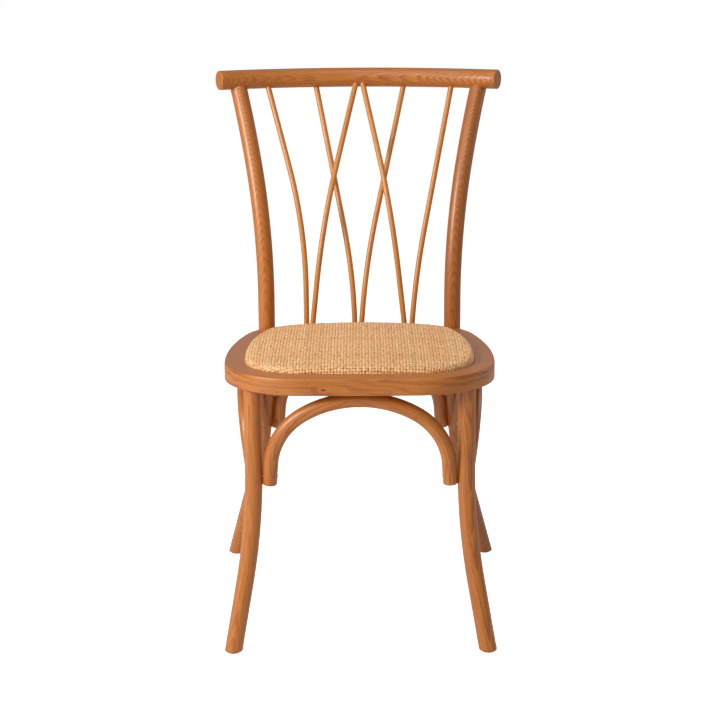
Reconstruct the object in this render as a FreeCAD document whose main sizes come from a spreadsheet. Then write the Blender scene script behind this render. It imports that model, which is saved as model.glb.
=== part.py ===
import FreeCAD, Part
import math
import os

import Sketcher
from FreeCAD import Placement, Rotation, Vector

# Cross back dining chair of bent round stock with a bent seat frame and a woven cane seat.
# Millimetres. X runs to the right, Y to the back, Z up from the floor.
# The origin lies on the floor, in the middle of the chair's own box.

# Driving sizes
SIZES = {
    # seat frame, a flat hoop bent round
    "seat_height": 455.0,
    "seat_front_reach": 274.0,
    "hoop_thickness": 28.0,
    "hoop_width": 441.0,
    "hoop_depth": 428.0,
    "hoop_front_radius": 5000.0,
    "hoop_side_radius": 665.0,
    "hoop_rear_radius": 978.0,
    "hoop_front_corner": 131.0,
    "hoop_rear_corner": 101.0,
    "hoop_widest_from_front": 167.0,
    "hoop_edge_round": 3.0,
    "face_front": 38.0,
    "face_side": 33.0,
    "face_rear": 37.0,
    "ledge_width": 12.0,
    "ledge_thickness": 16.0,
    # drop-in seat
    "seat_fit": 0.3,
    "cane_thickness": 2.6,
    "board_thickness": 9.0,
    "crown_above_hoop": 19.0,
    "crown_radius": 2300.0,
    "cane_edge_round": 9.0,
    # back posts, each one bent bar from the floor to the top rail
    "post_diameter": 29.0,
    "post_inset": 0.0,
    "post_bearing": 50.4,
    "post_turnout": 26.5,
    "post_upper_straight": 45.0,
    "post_upper_radius": 638.0,
    "post_upper_turn": 22.1,
    "post_lower_straight": 28.0,
    "post_lower_radius": 600.0,
    "post_lower_turn": 30.0,
    "post_tenon_diameter": 16.0,
    "post_tenon_reach": 8.0,
    # front legs
    "front_leg_diameter": 28.6,
    "front_leg_inset": 15.0,
    "front_leg_bearing": 44.9,
    "front_leg_turnout": 45.0,
    "front_leg_straight": 127.0,
    "front_leg_radius": 790.0,
    "front_leg_turn": 13.9,
    "front_leg_tenon_diameter": 20.0,
    "front_leg_tenon_length": 18.0,
    "foot_round": 2.0,
    # top rail, a round bar bent to a bow
    "overall_height": 896.0,
    "rail_diameter": 33.6,
    "rail_radius": 538.0,
    "rail_chord": 486.0,
    "rail_end_round": 1.5,
    # arches under the seat
    "arch_diameter": 24.0,
    "arch_depth": 155.0,
    "arch_shoulder_radius": 80.0,
    "arch_end_straight": 51.0,
    "arch_end_slant": 5.0,
    "arch_crown_inset": 26.0,
    "arch_bed": 0.5,
    # spindles of the back
    "spindle_diameter": 9.6,
    "spindle_inset": 19.0,
    "spindle_stagger": 5.35,
    "spindle_seat_depth": 13.0,
    "spindle_rail_depth": 7.0,
    "spindle_lower_lean": 1.5,
    "spindle_bend_reach": 110.0,
    "spindle_bend_share": 0.95,
    # fasteners and glides
    "socket_clearance": 0.1,
    "screw_diameter": 4.0,
    "screw_head_diameter": 8.0,
    "screw_head_height": 2.4,
    "screw_point": 4.0,
    "arch_screw_length": 38.0,
    "arch_screw_from_end": 14.0,
    "crown_screw_length": 40.0,
    "post_screw_length": 48.0,
    "seat_screw_length": 22.0,
    "seat_screw_spread": 0.45,
    "screw_recess": 1.0,
    "glide_diameter": 20.0,
    "glide_thickness": 2.0,
    "glide_pin_diameter": 4.0,
    "glide_pin_length": 12.0,
}

# Each spindle: how far across it stands at the seat and at its bend, as shares of the seat frame's width,
# how high its bend is over the seat, how far across it meets the rail, as a share of the rail's chord,
# and its row: -1 for the front row, 0 for the middle one and 1 for the rear row
SPINDLES = {
    "back_spindle_1": (-0.2098, -0.2125, 176.0, -0.3342, 0),
    "back_spindle_2": (-0.0184, -0.0234, 92.0, -0.1601, 1),
    "back_spindle_3": (-0.1864, -0.1442, 180.5, -0.0045, -1),
    "back_spindle_4": (0.1796, 0.1286, 203.5, 0.0105, -1),
    "back_spindle_5": (0.0082, 0.0234, 102.5, 0.1708, 1),
    "back_spindle_6": (0.2084, 0.2229, 90.0, 0.3407, 0),
}

# Edges within this distance of a level lie on it, and a cut that takes less than this volume missed
NEAR = 0.01
LEAST_CUT = 1.0

doc = FreeCAD.newDocument("cross_back_chair")


def add_sheet(name, values):
    """Makes a sheet of named numbers, one row each."""
    sheet = doc.addObject("Spreadsheet::Sheet", name)
    sheet.Label = name
    for row, (alias, number) in enumerate(values.items(), start=1):
        sheet.set(f"A{row}", alias)
        sheet.set(f"B{row}", repr(float(number)))
        sheet.setAlias(f"B{row}", alias)
    doc.recompute()
    return sheet


sizes_sheet = add_sheet("sizes", SIZES)


def size(alias):
    """A driving size, read from the sheet."""
    return float(sizes_sheet.get(alias))


def polar(radius, degrees):
    """A level vector of a given length, its bearing counted from +X towards +Y."""
    turn = math.radians(degrees)
    return Vector(radius * math.cos(turn), radius * math.sin(turn), 0)


# Plan of the seat frame: eight arcs that run smoothly into each other


def circles_meet(centre_a, radius_a, centre_b, radius_b):
    """The meeting point of two circles that lies on the right of the line from a to b."""
    along = centre_b - centre_a
    apart = along.Length
    reach = (radius_a**2 - radius_b**2 + apart**2) / (2 * apart)
    rise = math.sqrt(radius_a**2 - reach**2)
    along.normalize()
    return centre_a + along * reach + Vector(along.y, -along.x, 0) * rise


def plan_radii(insets):
    """Radii of the plan's arcs when each is moved in from the edge by its own inset."""
    return {part: size(f"hoop_{part}") - inset for part, (inset, _) in insets.items()}


def plan_centres(insets):
    """Centres of the plan's arcs, from the middle of the frame's front edge."""
    radii = plan_radii(insets)
    front = Vector(0, size("hoop_front_radius"), 0)
    rear = Vector(0, size("hoop_depth") - size("hoop_rear_radius"), 0)
    side = Vector(size("hoop_width") / 2 - size("hoop_side_radius"), size("hoop_widest_from_front"), 0)
    front_corner = circles_meet(
        side,
        radii["side_radius"] - radii["front_corner"],
        front,
        radii["front_radius"] - radii["front_corner"],
    )
    rear_corner = circles_meet(
        rear,
        radii["rear_radius"] - radii["rear_corner"],
        side,
        radii["side_radius"] - radii["rear_corner"],
    )
    return {
        "front_radius": front,
        "side_radius": side,
        "rear_radius": rear,
        "front_corner": front_corner,
        "rear_corner": rear_corner,
    }


NO_INSETS = {
    "front_radius": (0.0, "0"),
    "side_radius": (0.0, "0"),
    "rear_radius": (0.0, "0"),
    "front_corner": (0.0, "0"),
    "rear_corner": (0.0, "0"),
}


def face_insets(extra, extra_expression):
    """Insets that follow the inner edge of the frame's top face, and an extra step in."""
    front, side, rear = size("face_front"), size("face_side"), size("face_rear")
    front_name, side_name, rear_name = (f"<<sizes>>.face_{part}" for part in ("front", "side", "rear"))
    more = f" + {extra_expression}"
    return {
        "front_radius": (front + extra, front_name + more),
        "side_radius": (side + extra, side_name + more),
        "rear_radius": (rear + extra, rear_name + more),
        "front_corner": ((front + side) / 2 + extra, f"({front_name} + {side_name}) / 2" + more),
        "rear_corner": ((rear + side) / 2 + extra, f"({rear_name} + {side_name}) / 2" + more),
    }


CENTRES = plan_centres(NO_INSETS)
FRONT, SIDE, REAR = CENTRES["front_radius"], CENTRES["side_radius"], CENTRES["rear_radius"]
FRONT_CORNER, REAR_CORNER = CENTRES["front_corner"], CENTRES["rear_corner"]
FRONT_EDGE = Vector(0, -size("seat_front_reach"), 0)
HOOP_TOP = size("seat_height")
HOOP_UNDERSIDE = HOOP_TOP - size("hoop_thickness")
LEDGE_TOP = HOOP_UNDERSIDE + size("ledge_thickness")
ARCH_END_HEIGHT = HOOP_UNDERSIDE - size("arch_depth")


def mirrored(point, side):
    """A point of the right half, or its mirror image for side -1."""
    return Vector(point.x * side, point.y, point.z)


def outline_point(across, inset, rear):
    """A point of the plan's rear or front arc, moved in from the edge by the inset."""
    centre = REAR if rear else FRONT
    radius = size("hoop_rear_radius" if rear else "hoop_front_radius") - inset
    sign = 1 if rear else -1
    return FRONT_EDGE + Vector(across, centre.y + sign * math.sqrt(radius**2 - across**2), 0)


def side_outline_x(y, inset):
    """How far the plan's side lies from the middle at a depth y."""
    radius = size("hoop_side_radius") - inset
    return SIDE.x + math.sqrt(radius**2 - (y - FRONT_EDGE.y - SIDE.y) ** 2)


# Where the legs and posts stand


def post_axis(side):
    """Middle of a back post, level with the seat frame."""
    out = polar(size("hoop_rear_corner") - size("post_inset"), size("post_bearing"))
    return mirrored(FRONT_EDGE + REAR_CORNER + out, side)


def front_leg_axis(side):
    """Middle of a front leg, level with the seat frame."""
    out = polar(size("hoop_front_corner") - size("front_leg_inset"), -size("front_leg_bearing"))
    return mirrored(FRONT_EDGE + FRONT_CORNER + out, side)


def post_heading(side):
    """Level direction in which a back post leans, outwards and to the back."""
    return mirrored(polar(1, 90 - size("post_turnout")), side)


def front_leg_heading(side):
    """Level direction in which a front leg splays, outwards and to the front."""
    return mirrored(polar(1, size("front_leg_turnout") - 90), side)


def post_drift_below(height):
    """How far a back post has moved along its heading at a height under the seat."""
    down = size("seat_height") - size("post_lower_straight") - height
    radius = size("post_lower_radius")
    if down <= 0:
        return 0.0
    bend_drop = radius * math.sin(math.radians(size("post_lower_turn")))
    if down <= bend_drop:
        return radius - math.sqrt(radius**2 - down**2)
    bent = radius * (1 - math.cos(math.radians(size("post_lower_turn"))))
    return bent + (down - bend_drop) * math.tan(math.radians(size("post_lower_turn")))


def leg_drift_below(height):
    """How far a front leg has moved along its heading at a height."""
    down = HOOP_UNDERSIDE - size("front_leg_straight") - height
    radius = size("front_leg_radius")
    if down <= 0:
        return 0.0
    bend_drop = radius * math.sin(math.radians(size("front_leg_turn")))
    if down <= bend_drop:
        return radius - math.sqrt(radius**2 - down**2)
    bent = radius * (1 - math.cos(math.radians(size("front_leg_turn"))))
    return bent + (down - bend_drop) * math.tan(math.radians(size("front_leg_turn")))


def post_at(side, height):
    """Middle of a back post at a height under the seat."""
    point = post_axis(side) + post_heading(side) * post_drift_below(height)
    return Vector(point.x, point.y, height)


def leg_at(side, height):
    """Middle of a front leg at a height."""
    point = front_leg_axis(side) + front_leg_heading(side) * leg_drift_below(height)
    return Vector(point.x, point.y, height)


# Top rail: its bow passes through the upper ends of the two posts

RAIL_HEIGHT = size("overall_height") - size("rail_diameter") / 2


def post_top(side):
    """Where a back post's middle line meets the rail's."""
    turn = math.radians(size("post_upper_turn"))
    bend_rise = size("post_upper_radius") * math.sin(turn)
    bend_drift = size("post_upper_radius") * (1 - math.cos(turn))
    straight_rise = RAIL_HEIGHT - size("seat_height") - size("post_upper_straight") - bend_rise
    drift = bend_drift + straight_rise * math.tan(turn)
    point = post_axis(side) + post_heading(side) * drift
    return Vector(point.x, point.y, RAIL_HEIGHT)


RAIL_CENTRE_Y = post_top(1).y - math.sqrt(size("rail_radius") ** 2 - post_top(1).x ** 2)
RAIL_TURN = 2 * math.degrees(math.asin(size("rail_chord") / 2 / size("rail_radius")))


def rail_point(across):
    """A point on the rail's middle line."""
    return Vector(across, RAIL_CENTRE_Y + math.sqrt(size("rail_radius") ** 2 - across**2), RAIL_HEIGHT)


# Arches: each springs from the sides of two legs and rises to the seat frame


class Arch:
    """One inverted U between two legs, in a plane that leans out to the seat frame."""

    def __init__(self, leg_a, leg_b, radius_a, radius_b, crown):
        self.along = leg_b - leg_a
        self.along.z = 0
        self.along.normalize()
        bar = size("arch_diameter") / 2
        end_a = leg_a + self.along * (radius_a + bar - size("arch_bed"))
        end_b = leg_b - self.along * (radius_b + bar - size("arch_bed"))
        middle = (end_a + end_b) * 0.5
        self.half_span = (end_b - end_a).Length / 2
        crown_height = HOOP_UNDERSIDE + size("arch_bed") - bar
        across = Vector(-self.along.y, self.along.x, 0)
        self.lean = (crown - middle).dot(across)
        self.crown = Vector(middle.x, middle.y, crown_height) + across * self.lean
        drop = crown_height - ARCH_END_HEIGHT
        self.rise = math.hypot(drop, self.lean)
        self.tilt = math.degrees(math.atan2(self.lean, drop))
        slant = math.radians(size("arch_end_slant"))
        straight = size("arch_end_straight")
        shoulder = size("arch_shoulder_radius")
        out = self.half_span - straight * math.sin(slant) - shoulder * math.cos(slant)
        up = self.rise - straight * math.cos(slant) - shoulder * (1 - math.sin(slant))
        self.crown_turn = 2 * math.degrees(math.atan(up / out))
        self.crown_radius = shoulder + out / math.sin(math.radians(self.crown_turn))
        self.shoulder_turn = 90 - self.crown_turn - size("arch_end_slant")
        turn = math.degrees(math.atan2(self.along.y, self.along.x))
        self.place = Placement(
            self.crown, Rotation(Vector(0, 0, 1), turn) * Rotation(Vector(1, 0, 0), -self.tilt)
        )

    def end(self, side, above=0.0):
        """A point on the middle line near one end, a given length above the end itself."""
        slant = math.radians(size("arch_end_slant"))
        x = side * (self.half_span - above * math.sin(slant))
        return self.place.multVec(Vector(x, 0, -self.rise + above * math.cos(slant)))


def make_arches():
    """The four arches by name."""
    height = ARCH_END_HEIGHT
    leg = size("front_leg_diameter") / 2
    post = size("post_diameter") / 2
    inset = size("arch_crown_inset")
    fronts = {side: leg_at(side, height) for side in (-1, 1)}
    posts = {side: post_at(side, height) for side in (-1, 1)}
    middle_y = (fronts[1].y + posts[1].y) / 2
    side_x = side_outline_x(middle_y, inset)
    return {
        "front_arch": Arch(fronts[-1], fronts[1], leg, leg, outline_point(0, inset, False)),
        "rear_arch": Arch(posts[-1], posts[1], post, post, outline_point(0, inset, True)),
        "left_side_arch": Arch(fronts[-1], posts[-1], leg, post, Vector(-side_x, middle_y, 0)),
        "right_side_arch": Arch(fronts[1], posts[1], leg, post, Vector(side_x, middle_y, 0)),
    }


ARCHES = make_arches()


# Spindles: each is a straight run, one bend and a straight run, in a plane of its own


class Spindle:
    """The middle line of one spindle and the frame in which it is bent."""

    def __init__(self, seat_share, bend_share, bend_rise, rail_share, row):
        step = row * size("spindle_stagger")
        seat_x = seat_share * size("hoop_width")
        foot = outline_point(seat_x, size("spindle_inset"), True) + Vector(0, step, HOOP_TOP)
        head = rail_point(rail_share * size("rail_chord")) + Vector(0, step, 0)
        lean = bend_rise * math.tan(math.radians(size("spindle_lower_lean")))
        bend = Vector(bend_share * size("hoop_width"), foot.y + lean, HOOP_TOP + bend_rise)
        lower = bend - foot
        upper = head - bend
        self.turn = math.degrees(lower.getAngle(upper))
        setback = min(size("spindle_bend_reach"), lower.Length * size("spindle_bend_share"))
        self.radius = setback / math.tan(math.radians(self.turn / 2))
        lower_way = Vector(lower).normalize()
        self.upper_way = Vector(upper).normalize()
        sideways = (self.upper_way - lower_way * self.upper_way.dot(lower_way)).normalize()
        self.lower_run = size("spindle_seat_depth") + lower.Length - setback
        self.upper_run = upper.Length - setback + size("spindle_rail_depth") - size("rail_diameter") / 2
        self.foot = foot - lower_way * size("spindle_seat_depth")
        self.lower_way = lower_way
        self.head = head - self.upper_way * (size("rail_diameter") / 2)
        normal = lower_way.cross(sideways)
        self.place = Placement(self.foot, Rotation(sideways, normal, lower_way, "ZXY"))


BENT_SPINDLES = {name: Spindle(*row) for name, row in SPINDLES.items()}


def worked_out_sizes():
    """Lengths and angles that follow from the driving sizes, by alias."""
    values = {"rail_turn": RAIL_TURN}
    for name, arch in ARCHES.items():
        values[f"{name}_crown_radius"] = arch.crown_radius
        values[f"{name}_crown_turn"] = arch.crown_turn
        values[f"{name}_shoulder_turn"] = arch.shoulder_turn
    for name, spindle in BENT_SPINDLES.items():
        values[f"{name}_lower_run"] = spindle.lower_run
        values[f"{name}_radius"] = spindle.radius
        values[f"{name}_turn"] = spindle.turn
        values[f"{name}_upper_run"] = spindle.upper_run
    return values


derived_sheet = add_sheet("derived", worked_out_sizes())


# Building blocks


def new_body(name):
    """An empty body with its own label."""
    body = doc.addObject("PartDesign::Body", name)
    body.Label = name
    return body


def new_sketch(body, role, name):
    """A sketch on one of the body's own origin planes."""
    sketch = body.newObject("Sketcher::SketchObject", f"{body.Name}_{name}")
    plane = next(item for item in body.Origin.OriginFeatures if item.Role == role)
    sketch.AttachmentSupport = [(plane, "")]
    sketch.MapMode = "FlatFace"
    return sketch


def bind(sketch, constraint, name, expression):
    """Adds a constraint and ties its value to the sheets."""
    index = sketch.addConstraint(constraint)
    sketch.renameConstraint(index, name)
    sketch.setExpression(f"Constraints.{name}", expression)


def round_profile(body, name, diameter, expression):
    """A circle round the origin of the body's level plane."""
    sketch = new_sketch(body, "XY_Plane", name)
    sketch.addGeometry(Part.Circle(Vector(0, 0, 0), Vector(0, 0, 1), diameter / 2), False)
    sketch.addConstraint(Sketcher.Constraint("Coincident", 0, 3, -1, 1))
    bind(sketch, Sketcher.Constraint("Diameter", 0, diameter), "diameter", expression)
    return sketch


def trace(body, name, steps, heading=90.0):
    """A path in the body's upright plane that starts at its origin.

    Each step is a run, ("run", length, expression), or a bend,
    ("bend", radius, expression, degrees, expression, side), where side 1 turns to the right.
    """
    sketch = new_sketch(body, "XZ_Plane", name)
    here = Vector(0, 0, 0)
    previous_end = None
    for index, step in enumerate(steps):
        way = polar(1, heading)
        if step[0] == "run":
            there = here + way * step[1]
            sketch.addGeometry(Part.LineSegment(here, there), False)
            first, last = 1, 2
        else:
            radius, degrees, side = step[1], step[3], step[5]
            centre = here + Vector(way.y, -way.x, 0) * radius * side
            spoke = here - centre
            start = math.atan2(spoke.y, spoke.x)
            finish = start - math.radians(degrees) * side
            low, high = min(start, finish), max(start, finish)
            circle = Part.Circle(centre, Vector(0, 0, 1), radius)
            sketch.addGeometry(Part.ArcOfCircle(circle, low, high), False)
            first, last = (2, 1) if side > 0 else (1, 2)
            heading -= degrees * side
            there = centre + Vector(math.cos(finish), math.sin(finish), 0) * radius
        if previous_end is None:
            sketch.addConstraint(Sketcher.Constraint("Coincident", index, first, -1, 1))
            if step[0] == "run":
                sketch.addConstraint(Sketcher.Constraint("Vertical", index))
            else:
                level = Sketcher.Constraint("PointOnObject", index, 3, -2)
                sketch.addConstraint(level)
        else:
            joint = Sketcher.Constraint("Tangent", index - 1, previous_end, index, first)
            sketch.addConstraint(joint)
        if step[0] == "run":
            bind(sketch, Sketcher.Constraint("Distance", index, step[1]), f"run_{index}", step[2])
        else:
            bind(sketch, Sketcher.Constraint("Radius", index, step[1]), f"radius_{index}", step[2])
            turn = Sketcher.Constraint("Angle", index, math.radians(step[3]))
            bind(sketch, turn, f"turn_{index}", step[4])
        here = there
        previous_end = last
    return sketch


def sweep(body, name, profile, path):
    """A round bar: the profile drawn along the path."""
    pipe = body.newObject("PartDesign::AdditivePipe", f"{body.Name}_{name}")
    pipe.Profile = profile
    pipe.Spine = path
    pipe.Mode = "Standard"
    body.Tip = pipe
    doc.recompute()
    return pipe


def bound_cylinder(name, place, radius, radius_expression, height, height_expression):
    """A cylinder along its own Z axis, placed in the chair."""
    cylinder = doc.addObject("Part::Cylinder", name)
    cylinder.Label = name
    cylinder.Radius = radius
    cylinder.Height = height
    cylinder.setExpression("Radius", radius_expression)
    cylinder.setExpression("Height", height_expression)
    cylinder.Placement = place
    return cylinder


def along_z(point, way):
    """The placement that stands an upright piece on a point and points it along a direction."""
    return Placement(point, Rotation(Vector(0, 0, 1), way))


def facing(point, way):
    """The placement that keeps an upright piece upright and turns its X axis along a level direction."""
    turn = math.degrees(math.atan2(way.y, way.x))
    return Placement(point, Rotation(Vector(0, 0, 1), turn))


def grouped(name, members):
    """Several objects held together as one tool or one node."""
    group = doc.addObject("Part::Compound", name)
    group.Label = name
    group.Links = members
    return group


def cut_by(name, base, tool):
    """What is left of one object when another is taken away."""
    cut = doc.addObject("Part::Cut", name)
    cut.Label = name
    cut.Base = base
    cut.Tool = tool
    doc.recompute()
    return cut


def edges_where(shape, test):
    """Names of the edges that pass a test."""
    return [f"Edge{number}" for number, edge in enumerate(shape.Edges, start=1) if test(edge)]


def rounded(body, feature, names, radius_expression):
    """Rounds some edges of the body's last feature."""
    fillet = body.newObject("PartDesign::Fillet", f"{feature.Name}_rounded")
    fillet.Base = (feature, names)
    fillet.setExpression("Radius", radius_expression)
    body.Tip = fillet
    doc.recompute()
    return fillet


# Seat outline sketches


def seat_outline(body, name, insets, lift_expression=None):
    """The seat frame's plan, moved in from its edge by the insets."""
    sketch = new_sketch(body, "XY_Plane", name)
    if lift_expression:
        sketch.setExpression(".AttachmentOffset.Base.z", lift_expression)
    centres = plan_centres(insets)
    order = ["front_radius", "front_corner", "side_radius", "rear_corner", "rear_radius"]
    ring = [(centres[part], part) for part in order]
    ring += [(mirrored(centres[part], -1), part) for part in order[3:0:-1]]
    radii = [plan_radii(insets)[part] for _, part in ring]
    joints = []
    for number, (centre, _) in enumerate(ring):
        following = (number + 1) % len(ring)
        other = ring[following][0]
        larger = number if radii[number] > radii[following] else following
        smaller = following if larger == number else number
        outward = ring[smaller][0] - ring[larger][0]
        joints.append(ring[larger][0] + outward.normalize() * radii[larger])
    for number, (centre, _) in enumerate(ring):
        entry = joints[number - 1] - centre
        leave = joints[number] - centre
        start = math.atan2(entry.y, entry.x)
        finish = math.atan2(leave.y, leave.x)
        if finish < start:
            finish += 2 * math.pi
        circle = Part.Circle(centre, Vector(0, 0, 1), radii[number])
        sketch.addGeometry(Part.ArcOfCircle(circle, start, finish), False)
    for number in range(len(ring)):
        following = (number + 1) % len(ring)
        sketch.addConstraint(Sketcher.Constraint("Tangent", number, 2, following, 1))
    for number in (0, 4):
        sketch.addConstraint(Sketcher.Constraint("PointOnObject", number, 3, -2))
    sketch.addConstraint(Sketcher.Constraint("Symmetric", 2, 3, 6, 3, -2))
    front_y = Sketcher.Constraint("DistanceY", -1, 1, 0, 3, FRONT.y)
    bind(sketch, front_y, "front_centre", "<<sizes>>.hoop_front_radius")
    rear_y = Sketcher.Constraint("DistanceY", 4, 3, -1, 1, -REAR.y)
    bind(sketch, rear_y, "rear_centre", "<<sizes>>.hoop_rear_radius - <<sizes>>.hoop_depth")
    side_x = Sketcher.Constraint("DistanceX", 2, 3, -1, 1, -SIDE.x)
    bind(sketch, side_x, "side_centre", "<<sizes>>.hoop_side_radius - <<sizes>>.hoop_width / 2")
    side_y = Sketcher.Constraint("DistanceY", -1, 1, 2, 3, SIDE.y)
    bind(sketch, side_y, "side_depth", "<<sizes>>.hoop_widest_from_front")
    for number, (_, part) in enumerate(ring):
        radius = Sketcher.Constraint("Radius", number, radii[number])
        bind(sketch, radius, f"radius_{number}", f"<<sizes>>.hoop_{part} - ({insets[part][1]})")
    return sketch


def pad_up(body, name, sketch, length_expression):
    """Raises a sketch to a solid."""
    pad = body.newObject("PartDesign::Pad", f"{body.Name}_{name}")
    pad.Profile = sketch
    pad.setExpression("Length", length_expression)
    body.Tip = pad
    doc.recompute()
    return pad


def pocket(body, name, sketch, length_expression, upward):
    """Cuts a sketch's area out of the body and checks that it took something away."""
    before = body.Shape.Volume
    cut = body.newObject("PartDesign::Pocket", f"{body.Name}_{name}")
    cut.Profile = sketch
    cut.setExpression("Length", length_expression)
    cut.Reversed = upward
    body.Tip = cut
    doc.recompute()
    if body.Shape.Volume >= before - LEAST_CUT:
        raise RuntimeError(f"{cut.Name} cuts nothing")
    return cut


def round_holes(body, name, places, radius, radius_expression, length_expression):
    """Bores upright holes, from the body's level plane upwards."""
    sketch = new_sketch(body, "XY_Plane", f"{name}_plan")
    for number, place in enumerate(places):
        sketch.addGeometry(Part.Circle(place, Vector(0, 0, 1), radius), False)
        sketch.addConstraint(Sketcher.Constraint("DistanceX", -1, 1, number, 3, place.x))
        sketch.addConstraint(Sketcher.Constraint("DistanceY", -1, 1, number, 3, place.y))
        bind(sketch, Sketcher.Constraint("Radius", number, radius), f"radius_{number}", radius_expression)
    return pocket(body, name, sketch, length_expression, True)


# Screws: where each one's head lies and which way it is driven


def arch_screw_places():
    """One screw through each arch end into its leg."""
    places = []
    for arch in ARCHES.values():
        for side in (-1, 1):
            way = arch.along * side
            middle = arch.end(side, size("arch_screw_from_end"))
            head = middle - way * (size("arch_diameter") / 2 - size("screw_recess"))
            places.append(along_z(head, way))
    return places


def crown_screw_places():
    """One screw up through the crown of each arch into the seat frame."""
    places = []
    for arch in ARCHES.values():
        low = HOOP_UNDERSIDE + size("arch_bed") - size("arch_diameter") + size("screw_recess")
        places.append(along_z(Vector(arch.crown.x, arch.crown.y, low), Vector(0, 0, 1)))
    return places


def post_screw_places():
    """One level screw from the inside of each rear corner into the post."""
    places = []
    for side in (-1, 1):
        corner = mirrored(FRONT_EDGE + REAR_CORNER, side)
        way = post_axis(side) - corner
        way.z = 0
        way.normalize()
        face = (size("face_rear") + size("face_side")) / 2
        inner = size("hoop_rear_corner") - face - size("ledge_width")
        head = corner + way * (inner + size("screw_recess"))
        head.z = HOOP_UNDERSIDE + size("ledge_thickness") / 2
        places.append(along_z(head, way))
    return places


def seat_screw_places():
    """Four screws up through the ledge into the seat board."""
    places = []
    for rear in (False, True):
        inset = size("face_rear" if rear else "face_front") + size("ledge_width") / 2
        for side in (-1, 1):
            across = side * size("seat_screw_spread") * size("hoop_width") / 2
            spot = outline_point(across, inset, rear)
            spot.z = HOOP_UNDERSIDE + size("screw_recess")
            places.append(along_z(spot, Vector(0, 0, 1)))
    return places


SCREWS = {
    "arch_end_screws": (arch_screw_places(), "arch_screw_length"),
    "arch_crown_screws": (crown_screw_places(), "crown_screw_length"),
    "post_screws": (post_screw_places(), "post_screw_length"),
    "seat_screws": (seat_screw_places(), "seat_screw_length"),
}


def screw_profile(body, length_alias):
    """Half the section of a countersunk wood screw: head, neck, shank and point."""
    head, shank = size("screw_head_diameter") / 2, size("screw_diameter") / 2
    deep, length, point = size("screw_head_height"), size(length_alias), size("screw_point")
    sketch = new_sketch(body, "XZ_Plane", "section")
    corners = [
        Vector(0, 0, 0),
        Vector(head, 0, 0),
        Vector(shank, deep, 0),
        Vector(shank, length - point, 0),
        Vector(0, length, 0),
    ]
    for number, corner in enumerate(corners):
        sketch.addGeometry(Part.LineSegment(corner, corners[(number + 1) % 5]), False)
    for number in range(5):
        sketch.addConstraint(Sketcher.Constraint("Coincident", number, 2, (number + 1) % 5, 1))
    sketch.addConstraint(Sketcher.Constraint("Coincident", 0, 1, -1, 1))
    sketch.addConstraint(Sketcher.Constraint("Horizontal", 0))
    sketch.addConstraint(Sketcher.Constraint("Vertical", 2))
    sketch.addConstraint(Sketcher.Constraint("PointOnObject", 4, 1, -2))
    spans = [
        ("head", ("DistanceX", 0, 1, 0, 2, head), "screw_head_diameter / 2"),
        ("shank", ("DistanceX", -1, 1, 2, 1, shank), "screw_diameter / 2"),
        ("deep", ("DistanceY", -1, 1, 1, 2, deep), "screw_head_height"),
        ("length", ("DistanceY", -1, 1, 4, 1, length), length_alias),
        ("point", ("DistanceY", 3, 1, 3, 2, point), "screw_point"),
    ]
    for name, span, alias in spans:
        bind(sketch, Sketcher.Constraint(*span), name, f"<<sizes>>.{alias}")
    return sketch


def make_screw(name, length_alias):
    """One countersunk wood screw, driven along +Z from the middle of its head."""
    body = new_body(f"{name}_pattern_piece")
    turned = body.newObject("PartDesign::Revolution", f"{body.Name}_turned")
    turned.Profile = screw_profile(body, length_alias)
    turned.ReferenceAxis = (turned.Profile[0], ["V_Axis"])
    turned.Angle = 360
    body.Tip = turned
    doc.recompute()
    return body


def placed_copies(name, shape, places):
    """Copies of one shape, each a solid of its own, in one node."""
    feature = doc.addObject("Part::Feature", name)
    feature.Label = name
    copies = []
    for place in places:
        copy = shape.copy()
        copy.Placement = place
        copies.append(copy)
    feature.Shape = Part.makeCompound(copies)
    return feature


def make_screws():
    """The screws of each kind and the holes that they need."""
    nodes, holes = [], []
    clear = size("screw_head_diameter") / 2 + size("socket_clearance")
    for name, (places, length_alias) in SCREWS.items():
        screw = make_screw(name, length_alias)
        nodes.append(placed_copies(name, screw.Shape, places))
        sink = Part.makeCylinder(clear, size("arch_diameter") / 2, Vector(0, 0, 0), Vector(0, 0, -1))
        hole = screw.Shape.fuse(sink)
        holes.append(placed_copies(f"{name}_holes", hole, places))
    return nodes, grouped("screw_holes", holes)


# Round bars


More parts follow.
